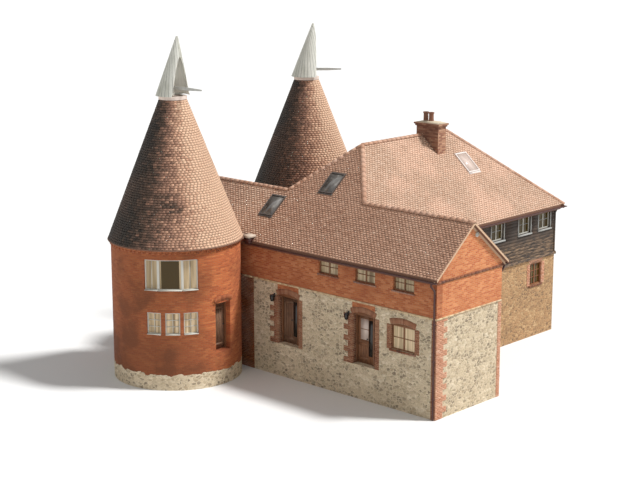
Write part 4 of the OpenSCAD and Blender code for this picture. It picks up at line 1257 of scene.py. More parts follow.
@dataclass
class Roofs:
    """All tiled planes and cones, the caps along ridges and hips, and the roof windows' panes.

    Attributes:
        cap_length, cap_r, cap_sunk: Length and radius of a cap, and how deep its axis lies.
        light_half, light_rise: Half width and length of a roof window.
        pane_in: Width of its frame.
        front_lights, east_light: Their places, as shares of a roof's length and rise.
    """

    cap_length: float = 0.3
    cap_r: float = 0.105
    cap_sunk: float = 0.045
    light_half: float = 0.39
    light_rise: float = 1.1
    pane_in: float = 0.052
    front_lights: tuple[Pair, ...] = ((0.164, 0.238), (0.354, 0.519))
    east_light: Pair = (0.5885, 0.516)

    def slopes(self) -> list[Slope]:
        """Work out every plane from the plan's lines.

        Returns:
            The planes.
        """
        p = PLAN
        left, right = p.left_end - p.verge, p.gable + p.verge
        cos_r, cos_m = math.cos(p.range_pitch), math.cos(p.main_pitch)
        t_ridge = (p.ridge_y - p.eave_y) / cos_r
        t_apex = (p.hip_front - p.ridge_y) / cos_r
        t_main = p.eave_half / cos_m
        t_foot = (p.eave_half - p.hip_foot) / cos_m
        t_valley = (p.rear + p.eave_out - p.valley_end) / cos_r
        wide = p.eave_half
        made = [
            Slope("front_tiles", (0, p.eave_y, p.range_eave), (1, 0, 0), (0, 1, 0), p.range_pitch,
                  (0, t_ridge), (left, left), (right, right), pale=0.4),
            Slope("front_upper_tiles", (p.ridge_x, p.ridge_y, p.range_ridge), (1, 0, 0),
                  (0, 1, 0), p.range_pitch, (0, t_apex), (-p.hip_foot, 0), (p.hip_foot, 0),
                  seed=2),
        ]
        rear_eave = p.rear + p.eave_out
        for side, end, seed in ((1, right, 3), (-1, left, 4)):
            reach = abs(end - p.ridge_x)
            made.append(Slope(
                f"rear_tiles_{'right' if side > 0 else 'left'}",
                (p.ridge_x, rear_eave, p.range_eave), (side, 0, 0), (0, -1, 0), p.range_pitch,
                (0, t_valley, t_ridge), (wide, wide, p.hip_foot), (reach,) * 3, seed=seed))
        for side, finish, seed in ((1, EAST_TILES, 5), (-1, TILES, 6)):
            made.append(Slope(
                f"main_tiles_{'east' if side > 0 else 'west'}",
                (p.ridge_x + side * wide, 0, p.main_eave), (0, 1, 0), (-side, 0, 0),
                p.main_pitch, (0, t_foot, t_main), (p.valley_end, p.ridge_y, p.hip_front),
                (p.back_eave, p.back_eave - t_foot * cos_m, p.hip_back), finish=finish,
                seed=seed))
        made.append(Slope(
            "main_tiles_north", (p.ridge_x, p.back_eave, p.main_eave), (1, 0, 0), (0, -1, 0),
            p.main_pitch, (0, t_main), (-wide, 0), (wide, 0), seed=7))
        return made

    def caps(self) -> None:
        """Lay half-round caps along ridges and hips, each a little wider at its lower end."""
        p = PLAN
        left = p.left_end - p.verge
        lines = [
            ((left, p.ridge_y, p.range_ridge), (p.ridge_x - p.hip_foot, p.ridge_y, p.range_ridge)),
            ((p.ridge_x + p.hip_foot, p.ridge_y, p.range_ridge),
             (p.gable + p.verge, p.ridge_y, p.range_ridge)),
            ((p.ridge_x, p.hip_front, p.main_ridge), (p.ridge_x, p.hip_back, p.main_ridge)),
        ]
        for side in (-1, 1):
            lines.append(((p.ridge_x + side * p.hip_foot, p.ridge_y, p.range_ridge),
                          (p.ridge_x, p.hip_front, p.main_ridge)))
            lines.append(((p.ridge_x + side * p.eave_half, p.back_eave, p.main_eave),
                          (p.ridge_x, p.hip_back, p.main_ridge)))
        made = Solids("ridge_and_hip_caps")
        rng = np.random.default_rng(11)
        turn = np.linspace(0, math.pi, 9)
        for a, b in lines:
            start, end = np.array(a), np.array(b)
            run = end - start
            length = np.linalg.norm(run)
            run /= length
            side = np.cross(run, [0, 0, 1])
            side /= np.linalg.norm(side)
            up = np.cross(side, run)
            count = max(1, round(length / self.cap_length))
            at = np.arange(count) * length / count
            rings = []
            for ends, radius in ((at, self.cap_r), (at + length / count * 1.04, self.cap_r * 0.9)):
                ends = np.minimum(ends, length)
                centre = start + ends[:, None] * run - self.cap_sunk * up
                arc = (np.cos(turn)[:, None] * side + np.sin(turn)[:, None] * up) * radius
                rings.append(PLAN.place(centre[:, None] + arc[None]))
            made.prism(*rings, rng.uniform(0.2, 0.7, count))
        made.build(RIDGE_TILES, Slot.TILE)

    def lights(self, front: Slope, east: Slope) -> None:
        """Glaze the roof windows, and lay lead round them.

        Args:
            front, east: The slopes that carry them.
        """
        p = PLAN
        reach = (p.hip_front - p.eave_y) / math.cos(p.range_pitch)
        rise = p.eave_half / math.cos(p.main_pitch)
        spots = [(front, s * p.gable, t * reach) for s, t in self.front_lights]
        spots.append((east, p.rear + self.east_light[0] * p.length, self.east_light[1] * rise))
        dim, glass = Solids("shaded_roof_panes"), Solids("roof_window_panes")
        lead = Solids("roof_window_lead")
        rim, top = self.light_half + 0.01, self.light_rise
        pane = self.light_half - self.pane_in
        for slope, s, t in spots:
            slope.slab(glass if slope is east else dim, s - pane, s + pane, t + self.pane_in,
                       t + top - self.pane_in, 0.03, 0.037)
            slope.slab(lead, s - rim, s + rim, t - 0.09, t, 0.0, 0.03)
            slope.slab(lead, s - rim, s + rim, t + top, t + top + 0.03, 0.0, 0.034)
        glass.build(SKY_REFLECTION_GLASS, Slot.GLASS)
        dim.build(DIM_GLASS, Slot.GLASS)
        lead.build(FLASHING, Slot.ROOF_WINDOW)

    def build(self) -> None:
        """Make every tiled piece."""
        slopes = {slope.name: slope for slope in self.slopes()}
        for slope in slopes.values():
            slope.tiles()
        self.lights(slopes["front_tiles"], slopes["main_tiles_east"])
        Cone("kiln_1_tiles", PLAN.kiln, 0.0, 21, moss=((-50, 0.31), (-43, 0.27))).tiles()
        Cone("kiln_2_tiles", PLAN.kiln_2, PLAN.kiln_drop, 22).tiles()
        self.caps()


# Walls


@dataclass(frozen=True)
class Face:
    """Outer face of a wall: u runs along it, v up from the ground floor, w out of it.

    A point is origin + u * along + w * out, at the height v.
    """

    origin: Pair
    along: Pair
    out: Pair

    @classmethod
    def flat(cls, way: Way) -> "Face":
        """Give the face of a straight wall.

        Args:
            way: Where the wall faces.

        Returns:
            The face.
        """
        p = PLAN
        return {
            Way.FRONT: cls((0.0, p.front), (1.0, 0.0), (0.0, -1.0)),
            Way.GABLE: cls((p.gable, 0.0), (0.0, 1.0), (1.0, 0.0)),
            Way.EAST: cls((p.ridge_x + p.half, 0.0), (0.0, 1.0), (1.0, 0.0)),
            Way.NORTH: cls((0.0, p.back), (1.0, 0.0), (0.0, 1.0)),
            Way.WEST: cls((p.ridge_x - p.half, 0.0), (0.0, 1.0), (-1.0, 0.0)),
            Way.REAR: cls((0.0, p.rear), (1.0, 0.0), (0.0, 1.0)),
        }[way]

    @classmethod
    def round(cls, azimuth: float, inset: float = 0.0) -> "Face":
        """Give a flat face square to one direction from the front kiln's axis.

        Args:
            azimuth: The direction in degrees.
            inset: How far the face lies within the kiln's wall.

        Returns:
            The face.
        """
        a = math.radians(azimuth)
        r = PLAN.kiln_r - inset
        out = (math.cos(a), math.sin(a))
        return cls((r * out[0], r * out[1]), (-out[1], out[0]), out)

    def at(self, u: Amount, v: Amount, w: Amount) -> Array:
        """Give points of the wall, by the formula above.

        Args:
            u, v, w: Places along it, up it and out of it.

        Returns:
            The points.
        """
        u, w = np.asarray(u, float), np.asarray(w, float)
        x, y = (o + u * a + w * b for o, a, b in zip(self.origin, self.along, self.out))
        return PLAN.place(np.stack(np.broadcast_arrays(x, y, v), axis=-1))

    def slabs(self, made: Solids, boxes: list[tuple[float, ...]], tone: Amount = 0.5,
              slant: float = 0.0) -> None:
        """Add blocks on the wall, each given as u0, u1, v0, v1, w0, w1.

        Args:
            made: The piece that takes them.
            boxes: The blocks.
            tone: Their tone, or one for each.
            slant: How much less the upper edge stands out.
        """
        if not boxes:
            return
        u0, u1, v0, v1, w0, w1 = np.array(boxes, float).T
        top = np.maximum(w1 - slant, w0 + 0.001)
        corners = [self.at(u, v, w) for v, out in ((v0, w1), (v1, top))
                   for u, w in ((u0, w0), (u1, w0), (u1, out), (u0, out))]
        made.add(np.stack(corners, axis=1), BOX_QUADS, tone=tone)

    def disc(self, made: Solids, u: float, v: float, radius: float, w0: float, w1: float,
             tip: float = 1.0) -> None:
        """Add a round block that stands out of the wall.

        Args:
            made: The piece that takes it.
            u, v: Its middle.
            radius: Its radius.
            w0, w1: Its inner and outer end.
            tip: Share of the radius at the outer end.
        """
        turn = np.linspace(0, math.tau, 16, endpoint=False)
        made.prism(*(self.at(u + r * np.cos(turn), v + r * np.sin(turn), w)[None]
                     for r, w in ((radius, w0), (radius * tip, w1))))


@dataclass(frozen=True)
class Window:
    """One window: its middle, width, sill and head on a face, and how many lights it has.

    Attributes:
        member: Width of its frame's bars.
        back: How far its frame stands behind the face.
        depth: Depth of the frame.
    """

    face: Face
    middle: float
    width: float
    sill: float
    head: float
    lights: int = 2
    member: float = 0.05
    back: float = 0.07
    depth: float = 0.08

    @property
    def ends(self) -> Pair:
        """Both ends of the opening along the wall."""
        return self.middle - self.width / 2, self.middle + self.width / 2

    def panes(self) -> list[Pair]:
        """Give the ends of each pane along the wall.

        Returns:
            Both ends of each.
        """
        wide = (self.width - self.member * (self.lights + 1)) / self.lights
        starts = [self.ends[0] + self.member + i * (wide + self.member)
                  for i in range(self.lights)]
        return [(start, start + wide) for start in starts]


@dataclass(frozen=True)
class Windows:
    """Every window of the house, by group.

    Attributes:
        kiln_lights: Directions of the kiln's lower lights, in degrees.
        kiln_posts: Directions of the posts of the wide window above them.
        upper_shares, ground_share: Middles of the range's windows, as shares of its length.
        ground: Sill and head of the ground-floor windows.
        upper_size, main_size, kiln_size: Width and height of upper windows and kiln lights.
        upper_drop, main_drop: How far upper windows lie under the eaves.
        kiln_sill: Height of the kiln's lower sills.
    """

    kiln_lights: tuple[float, ...] = (-62.2, -45.5, -29.4)
    kiln_posts: tuple[float, ...] = (-70.2, -57.7, -36.3, -22.4)
    upper_shares: tuple[float, ...] = (0.534, 0.698, 0.863)
    ground_share: float = 0.863
    ground: Pair = (1.01, 2.0)
    upper_size: Pair = (1.04, 0.63)
    upper_drop: float = 0.16
    main_size: Pair = (0.9, 0.83)
    main_drop: float = 0.2
    kiln_size: Pair = (0.6, 0.91)
    kiln_sill: float = 0.93

    def range_upper(self) -> list[Window]:
        """Give the three small windows under the range's eaves.

        Returns:
            The windows.
        """
        head = PLAN.range_eave - self.upper_drop
        width, high = self.upper_size
        return [Window(Face.flat(Way.FRONT), PLAN.gable * share, width, head - high, head)
                for share in self.upper_shares]

    def range_ground(self) -> list[Window]:
        """Give the range's ground-floor window."""
        return [Window(Face.flat(Way.FRONT), PLAN.gable * self.ground_share, 1.19, *self.ground)]

    def main(self, way: Way, upper: bool) -> list[Window]:
        """Give one row of one wall of the main block.

        Args:
            way: The wall.
            upper: Whether it is the upper row.

        Returns:
            The windows.
        """
        p = PLAN
        shares = {
            (Way.EAST, True): (0.325, 0.536, 0.748, 0.908), (Way.EAST, False): (0.42, 0.849),
            (Way.WEST, True): (0.736, 0.894), (Way.WEST, False): (0.815,),
            (Way.NORTH, True): (-0.616, 0.0, 0.616), (Way.NORTH, False): (-0.448, 0.448),
        }[way, upper]
        head = p.main_eave - self.main_drop
        width, high = self.main_size
        sill, head = (head - high, head) if upper else self.ground
        start, reach = (p.ridge_x, p.half) if way is Way.NORTH else (p.rear, p.length)
        return [Window(Face.flat(way), start + share * reach, width, sill, head)
                for share in shares]

    def kiln_low(self) -> list[Window]:
        """Give the three lower lights of the front kiln.

        Returns:
            The windows.
        """
        r, (width, high), sill = PLAN.kiln_r, self.kiln_size, self.kiln_sill
        inset = r - math.sqrt(r * r - width * width / 4)
        return [Window(Face.round(azimuth, inset), 0.0, width, sill, sill + high, 1)
                for azimuth in self.kiln_lights]

    def kiln_wide(self) -> list[Window]:
        """Give the three lights of the wide window above them.

        Returns:
            Each light as a window.
        """
        p = PLAN
        bow = p.kiln_r - Window.back
        made = []
        for a, b in zip(self.kiln_posts, self.kiln_posts[1:]):
            half = math.radians(b - a) / 2
            face = Face.round((a + b) / 2, p.kiln_r - bow * math.cos(half) - Window.back)
            made.append(Window(face, 0.0, 2 * bow * math.sin(half), p.kiln_eave - 1.64,
                               p.kiln_eave - 0.38, 1))
        return made


WINDOWS = Windows()
MAIN_WAYS = (Way.EAST, Way.NORTH, Way.WEST)


@dataclass
class Boarding:
    """Feather-edged boards on the upper walls of the main block, and boards at its corners.

    Attributes:
        board: Height of a row.
        out: How far a board's lower edge stands out, and corner_out a corner board.
        edge, lap, gap: How far its top stands out, it covers the next one, and windows stay clear.
        corner: Width of a corner board.
        bed: How far each of them reaches into the wall.
    """

    board: float = 0.15
    out: float = 0.024
    edge: float = 0.006
    lap: float = 0.01
    gap: float = 0.06
    corner: float = 0.1
    corner_out: float = 0.036
    bed: float = -0.003

    def runs(self, way: Way, low: float, high: float, v0: float, v1: float) -> list[tuple]:
        """Split a row of board round the windows that it meets.

        Args:
            way: The wall.
            low, high: Ends of the row along the wall.
            v0, v1: Its lower and upper edge.

        Returns:
            Both ends of each board.
        """
        spans = [(low, high)]
        for window in WINDOWS.main(way, True):
            if v1 <= window.sill - 0.05 or v0 >= window.head + 0.05:
                continue
            a, b = window.ends[0] - self.gap, window.ends[1] + self.gap
            spans = [s for lo, hi in spans for s in ((lo, min(hi, a)), (max(lo, b), hi))
                     if s[1] - s[0] > 0.02]
        return spans

    def build(self) -> None:
        """Make the boards of the three walls."""
        p = PLAN
        low = p.ledge + 0.15
        high = p.main_eave + p.main_out * math.tan(p.main_pitch) - p.roof_t / math.cos(p.main_pitch)
        rows = round((high - low) / self.board)
        step = (high - low) / rows
        kiln_side = p.kiln_2[1] - p.kiln[1] + p.kiln_r
        limits = {Way.EAST: (p.rear + 0.02, p.back), Way.WEST: (kiln_side, p.back),
                  Way.NORTH: (p.ridge_x - p.half, p.ridge_x + p.half)}
        made, trim = Solids("weatherboards"), Solids("corner_boards")
        rng = np.random.default_rng(31)
        for way, (a, b) in limits.items():
            boxes = []
            for k in range(rows):
                v0, v1 = low + k * step - self.lap * (k > 0), low + (k + 1) * step
                boxes += [(s0, s1, v0, v1, self.bed, self.out)
                          for s0, s1 in self.runs(way, a, b, v0, v1)]
            Face.flat(way).slabs(made, boxes, rng.random(len(boxes)), self.out - self.edge)
            ends = [(a, a + self.corner)] * (way is Way.NORTH) + [(b - self.corner, b)]
            Face.flat(way).slabs(trim, [(c, d, low, high, self.bed, self.corner_out)
                                        for c, d in ends])
        made.build(BOARDING, Slot.BOARDS)
        trim.build(BOARDING, Slot.BOARDS)


@dataclass
class Dressings:
    """Bricks that dress the rubble: quoins, jambs, low arches, courses, sills and dentils.

    Attributes:
        course, brick, joint: Height of a course, length of a brick, and width of a joint.
        proud, bed: How far bricks stand out of the wall, and reach into it.
        door_reveal, window_reveal: How deep they line the sides of openings.
        door_rise, window_rise, kiln_rise: Rise of the arches of each kind.
        pier: Right edge of the dark pier beside the kiln, painted shade of the kiln on the wall.
        string: Height of the string course, how far it stands out, and length of its blocks.
        rng: Source of the bricks' chance tones.
    """

    course: float = 0.075
    brick: float = 0.225
    joint: float = 0.01
    proud: float = 0.012
    bed: float = -0.01
    door_reveal: float = 0.235
    window_reveal: float = 0.068
    door_rise: float = 0.12
    window_rise: float = 0.1
    kiln_rise: float = 0.08
    pier: float = 2.08
    string: Triple = (0.07, 0.022, 0.34)
    rng: np.random.Generator = field(default_factory=lambda: np.random.default_rng(41))

    def lay(self, made: Solids, face: Face, boxes: list[tuple[float, ...]]) -> None:
        """Add bricks with a chance tone for each."""
        face.slabs(made, boxes, self.rng.random(len(boxes)))

    def jamb(self, made: Solids, face: Face, edge: float, side: int, v0: float, v1: float,
             wide: int = 2, narrow: int = 1, first: int = 0, reveal: float = 0.0) -> None:
        """Lay toothed brickwork beside an edge, with half bricks at both ends of odd courses.

        Args:
            made: The piece.
            face: The wall.
            edge: Where the first brick ends along the wall.
            side: 1 where it grows along the wall, and -1 where it grows back.
            v0, v1: Its lower and upper end.
            wide, narrow: Bricks in a wide and in a narrow block.
            first: 1 where the lowest block is the narrow one.
            reveal: How deep the bricks line the side of an opening, a little proud of it.
        """
        boxes = []
        for k in range(math.ceil((v1 - v0) / self.course)):
            count = wide if (k // 3 + first) % 2 == 0 else narrow
            low = v0 + k * self.course
            high = min(low + self.course - self.joint, v1)
            ends = [0.0, *(j + 0.5 for j in range(count)), count] if k % 2 else range(count + 1)
            for c, d in zip(ends, ends[1:]):
                lined = reveal > 0 and c == 0
                a, b = sorted((edge + side * (c * self.brick - 0.005 * lined),
                               edge + side * (d * self.brick - self.joint)))
                boxes.append((a, b, low, high, -reveal if lined else self.bed, self.proud))
        self.lay(made, face, boxes)

    def band(self, made: Solids, face: Face, u0: float, u1: float, v0: float, v1: float,
             out: float, length: float) -> None:
        """Lay one course along a wall, of bricks of one length."""
        at = np.linspace(u0, u1, max(1, round((u1 - u0) / length)) + 1)
        self.lay(made, face, [(a, b - 0.006, v0, v1, self.bed, out) for a, b in zip(at, at[1:])])

    def bow(self, half: float, rise: float) -> Pair:
        """Give a low arch's radius, (half^2 + rise^2) / (2 rise), and half of its angle."""
        radius = (half * half + rise * rise) / (2 * rise)
        return radius, math.asin(half / radius)

    def arch(self, made: Solids, face: Face, middle: float, half: float, spring: float,
             rise: float) -> None:
        """Lay a low arch, a brick deep, each of whose bricks is a wedge between two angles.

        Args:
            made: The piece.
            face: The wall.
            middle: Its middle along the wall.
            half: Half of its width.
            spring: Height of its ends.
            rise: How much higher its middle is.
        """
        radius, limit = self.bow(half, rise)
        count = round(2 * limit * (radius + self.brick / 2) / self.course)
        at = np.linspace(-limit, limit, count + 1)
        a, b = at[:-1], at[1:] - 0.008 / radius
        foot = spring + rise - radius
        corners = [face.at(middle + r * np.sin(angle), foot + r * np.cos(angle), w)
                   for r in (radius, radius + self.brick)
                   for angle, w in ((a, self.bed), (b, self.bed), (b, self.proud), (a, self.proud))]
        made.add(np.stack(corners, axis=1), BOX_QUADS, tone=self.rng.random(count))

    def head(self, made: Solids, face: Face, middle: float, half: float, spring: float,
             rise: float) -> None:
        """Fill the low bow between a flat head and its arch.

        Args:
            made, face, middle, half, spring, rise: As for the arch.
        """
        radius, limit = self.bow(half, rise)
        turn = np.linspace(-limit, limit, 12)
        u, v = middle + radius * np.sin(turn), spring + rise - radius + radius * np.cos(turn)
        made.prism(*(face.at(u, v, w)[None] for w in (self.bed, self.proud / 2)))

    def dentils(self, made: Solids, centre: Pair, drop: float, hidden: Pair) -> None:
        """Lay header bricks that stand out under a kiln's eaves, with a course above them.

        Args:
            made: The piece.
            centre: The kiln's axis in the frame.
            drop: How much lower this kiln stands.
            hidden: Directions between which another building stands, in degrees.
        """
        girth = math.tau * PLAN.kiln_r
        top = PLAN.floor + PLAN.kiln_eave - drop - 0.002
        for out, length, share, v0, v1 in ((0.045, self.brick, 0.5, 0.15, 0.075),
                                           (0.06, self.brick, 0.96, 0.073, 0.0)):
            count = round(girth / length)
            a = np.arange(count) * math.tau / count
            turned = (np.degrees(a) - hidden[0]) % 360.0
            a = a[turned > (hidden[1] - hidden[0]) % 360.0]
            b = a + share * math.tau / count
            corners = [around(centre, PLAN.kiln_r + r, angle, z) for z in (top - v0, top - v1)
                       for angle, r in ((a, -0.02), (b, -0.02), (b, out), (a, out))]
            made.add(np.stack(corners, axis=1), BOX_QUADS, tone=self.rng.random(a.size))

    def build(self) -> None:
        """Make all the bricks of each kind."""
        p = PLAN
        front, gable = Face.flat(Way.FRONT), Face.flat(Way.GABLE)
        base, top = -p.floor + 0.01, p.stone_top - 0.01
        bricks, heads = Solids("brick_dressings"), Solids("arch_heads")
        sunny, pier = Solids("sunny_dressings"), Solids("kiln_shade_pier")
        self.jamb(bricks, front, p.gable, -1, base, top, wide=1)
        self.jamb(sunny, gable, p.front, 1, base, top, 3, 2, first=1)
        self.jamb(sunny, gable, p.rear, -1, base, top, wide=1)
        # painted shade: dark bricks beside the kiln show the kiln's shade on the wall
        self.jamb(pier, front, self.pier, -1, base, top, 4, 4)
        pier.build(SHADED_BRICK, Slot.BRICK)
        half, reveal = p.door_width / 2, self.door_reveal
        for x in p.doors:
            self.jamb(bricks, front, x, -1, 0.0, p.door_head, reveal=reveal)
            self.jamb(bricks, front, x + p.door_width, 1, 0.0, p.door_head, wide=1, reveal=reveal)
            self.arch(bricks, front, x + half, half + 0.02, p.door_head, self.door_rise)
            self.head(heads, front, x + half, half, p.door_head, self.door_rise - 0.01)
        ground = WINDOWS.range_ground() + [window for way in MAIN_WAYS
                                           for window in WINDOWS.main(way, False)]
        for window in ground:
            a, b = window.ends
            made = bricks if window.face == front else sunny
            for edge, side in ((a, -1), (b, 1)):
                self.jamb(made, window.face, edge, side, window.sill, window.head, wide=1,
                          reveal=self.window_reveal)
            half = window.width / 2
            self.arch(made, window.face, window.middle, half + 0.02, window.head, self.window_rise)
            self.head(heads, window.face, window.middle, half, window.head, self.window_rise - 0.01)
        bricks.build(DRESSED_BRICK, Slot.BRICK)
        sunny.build(SUNNY_BRICK, Slot.BRICK)
        heads.build(TIMBER, Slot.TIMBER)
        sandy, dark = Solids("string_course"), Solids("gable_band")
        high, out, length = self.string
        for face, u0, u1 in ((front, 1.0, p.gable), (front, p.left_end, -1.05),
                             (gable, p.front, p.rear)):
            self.band(sandy, face, u0, u1, p.stone_top, p.stone_top + high, out, length)
        sandy.build(SANDSTONE, Slot.STONE)
        # painted shadow: the gable band's dark brick also stands for the shade under it
        eave = p.range_eave - 0.13
        self.band(dark, gable, p.front, p.rear, eave - 0.09, eave, 0.035, self.brick)
        for windows, past, high, out in ((WINDOWS.range_upper(), 0.06, 0.065, 0.035),
                                         (ground, 0.07, 0.07, 0.04)):
            for window in windows:
                a, b = window.ends
                self.band(dark, window.face, a - past, b + past, window.sill - high, window.sill,
                          out, 0.2)
        dark.build(DARK_COURSE, Slot.BRICK)
        kiln = Solids("kiln_dentils")
        self.dentils(kiln, p.kiln, 0.0, (62.0, 118.0))
        self.dentils(kiln, p.kiln_2, p.kiln_drop, (-30.0, 30.0))
        self.arch(kiln, Face.round(p.kiln_door), 0.0, 0.47, p.door_head, self.kiln_rise)
        kiln.build(KILN_COURSE, Slot.KILN_BRICK)


@dataclass
class Joinery:
    """Glazing bars, white trims and sills, and the planks and fittings of the doors.

    Attributes:
        bar, trim_width, plank: Widths of glazing bars, of trims and of a door's planks.
        leaf_u, leaf_back: Ends of the range's leaves from the left of their doorway, and how far
            they stand back.
        kiln_half, kiln_back: Half width of the kiln's leaf, and how far it stands back.
        shade_strip: Width of the tall dark pane in the range's leaves, which is painted shade.
        leaf_foot, leaf_top: Lower and upper end of what is laid on a leaf.
        rail: Height of the foot of a glazed leaf's panes.
        stile: Width of the wood beside them.
        knob: Height of the knobs.
    """

    bar: float = 0.024
    trim_width: float = 0.055
    plank: float = 0.13
    leaf_u: Pair = (0.068, 0.882)
    leaf_back: float = 0.295
    kiln_half: float = 0.362
    kiln_back: float = 0.335
    shade_strip: float = 0.2
    leaf_foot: float = 0.03
    leaf_top: float = 1.96
    rail: float = 0.98
    stile: float = 0.13
    knob: float = 1.03

    def bars(self, made: Solids, window: Window, across: int, upright: int) -> None:
        """Add bars in front of each pane.

        Args:
            made: The piece.
            window: The window.
            across, upright: How many level and upright bars a pane has.
        """
        w0, w1 = -(window.back + window.depth / 2), -(window.back + 0.014)
        v0, v1 = window.sill + window.member, window.head - window.member
        half = self.bar / 2
        boxes = []
        for a, b in window.panes():
            for k in range(1, across + 1):
                v = v0 + (v1 - v0) * k / (across + 1)
                boxes.append((a, b, v - half, v + half, w0, w1))
            for k in range(1, upright + 1):
                u = a + (b - a) * k / (upright + 1)
                boxes.append((u - half, u + half, v0, v1, w0, w1 - 0.003))
        window.face.slabs(made, boxes)

    def trim(self, made: Solids, window: Window) -> None:
        """Add flat boards round a window in the boarding, and a sill.

        Args:
            made: The piece.
            window: The window.
        """
        a, b = window.ends
        w, wide = (-0.003, 0.032), self.trim_width
        window.face.slabs(made, [
            (a - wide, a, window.sill - 0.02, window.head + wide, *w),
            (b, b + wide, window.sill - 0.02, window.head + wide, *w),
            (a, b, window.head, window.head + wide, *w),
            (a - wide - 0.02, b + wide + 0.02, window.sill - 0.07, window.sill - 0.005, -0.003,
             0.07),
        ])

    def leaf(self, body: str, face: Face, u0: float, u1: float, depth: float,
             glazed: bool = False, shade_strip: float = 0.0) -> None:
        """Board a door's leaf, and glaze its upper half where asked.

        Args:
            body: The leaf's moving body.
            face: The wall that it stands in.
            u0, u1: Sides of the leaf along the wall.
            depth: How far its outer face stands back.
            glazed: Whether it has panes.
            shade_strip: Width of a tall dark pane near its right edge, painted shade, or 0.
        """
        wood, glass, iron = Solids(f"{body}_planks"), Solids(f"{body}_pane"), Solids(f"{body}_iron")
        pane = Solids(f"{body}_strip")
        top = self.leaf_top
        reach = self.rail if glazed else top
        a, b = u0 + 0.012, u1 - 0.012
        at = np.linspace(a, b, round((b - a) / self.plank) + 1)
        back, out = -depth - 0.004, -depth + 0.008
        face.slabs(wood, [(c, d - 0.005, self.leaf_foot, reach, back, out)
                          for c, d in zip(at, at[1:])])
        stop = b - shade_strip - 0.03 * (shade_strip > 0)
        face.slabs(wood, [(a, stop, v, v + 0.11, back, out + 0.006) for v in (0.16, reach - 0.24)])
        if glazed:
            left, right, high = a + self.stile, b - shade_strip - 0.06, top - 0.12
            face.slabs(wood, [(a, left, reach, top, back, out), (right, b, reach, top, back, out),
                              (left, right, high, top, back, out),
                              (left, right, 1.4, 1.428, back, out - 0.001)])
            face.slabs(glass, [(left, right, reach, high, back, -depth + 0.003)])
            glass.build(SKY_REFLECTION_GLASS, Slot.GLASS, body)
        # painted shade: a tall dark pane stands for the dark of the doorway
        if shade_strip:
            face.slabs(pane, [(b - shade_strip - 0.03, b - 0.03, 0.34, top - 0.14, out - 0.002,
                               out + 0.004)])
            pane.build(DARK_GLASS, Slot.GLASS, body)
        u = b - shade_strip - (0.1 if shade_strip else 0.06)
        for radius, near, far, tip in ((0.03, -0.002, 0.012, 1.0), (0.012, 0.0, 0.04, 1.0),
                                       (0.024, 0.036, 0.052, 0.8)):
            face.disc(iron, u, self.knob, radius, out + near, out + far, tip)
        wood.build(TIMBER if glazed else DARK_TIMBER, Slot.TIMBER, body)
        iron.build(IRON, Slot.GUTTER, body)

    def build(self) -> None:
        """Make all the joinery."""
        white, brown, faded = Solids("white_bars"), Solids("brown_bars"), Solids("main_bars")
        for window in WINDOWS.range_upper() + WINDOWS.range_ground():
            self.bars(brown, window, 1, 0)
        for window in WINDOWS.kiln_low():
            self.bars(white, window, 2, 1)
        for way in MAIN_WAYS:
            for window in WINDOWS.main(way, True):
                self.bars(faded, window, 1, 0)
                self.trim(faded, window)
            for window in WINDOWS.main(way, False):
                self.bars(faded, window, 2, 1)
        for window in WINDOWS.kiln_low() + WINDOWS.kiln_wide():
            a, b = window.ends
            window.face.slabs(white, [(a + 0.004, b - 0.004, window.sill, window.sill + 0.02,
                                       -0.07, 0.045)])
        for window in WINDOWS.kiln_wide()[::2]:
            self.bars(white, window, 0, 1)
        white.build(FRAME_WHITE, Slot.WHITE)
        faded.build(TRIM_WHITE, Slot.WHITE)
        brown.build(TIMBER, Slot.TIMBER)
        front = Face.flat(Way.FRONT)
        for number, x in enumerate(PLAN.doors, 1):
            self.leaf(f"range_door_{number}", front, x + self.leaf_u[0], x + self.leaf_u[1],
                      self.leaf_back, number == 2, self.shade_strip)
        self.leaf("kiln_door", Face.round(PLAN.kiln_door), -self.kiln_half, self.kiln_half,
                  self.kiln_back)


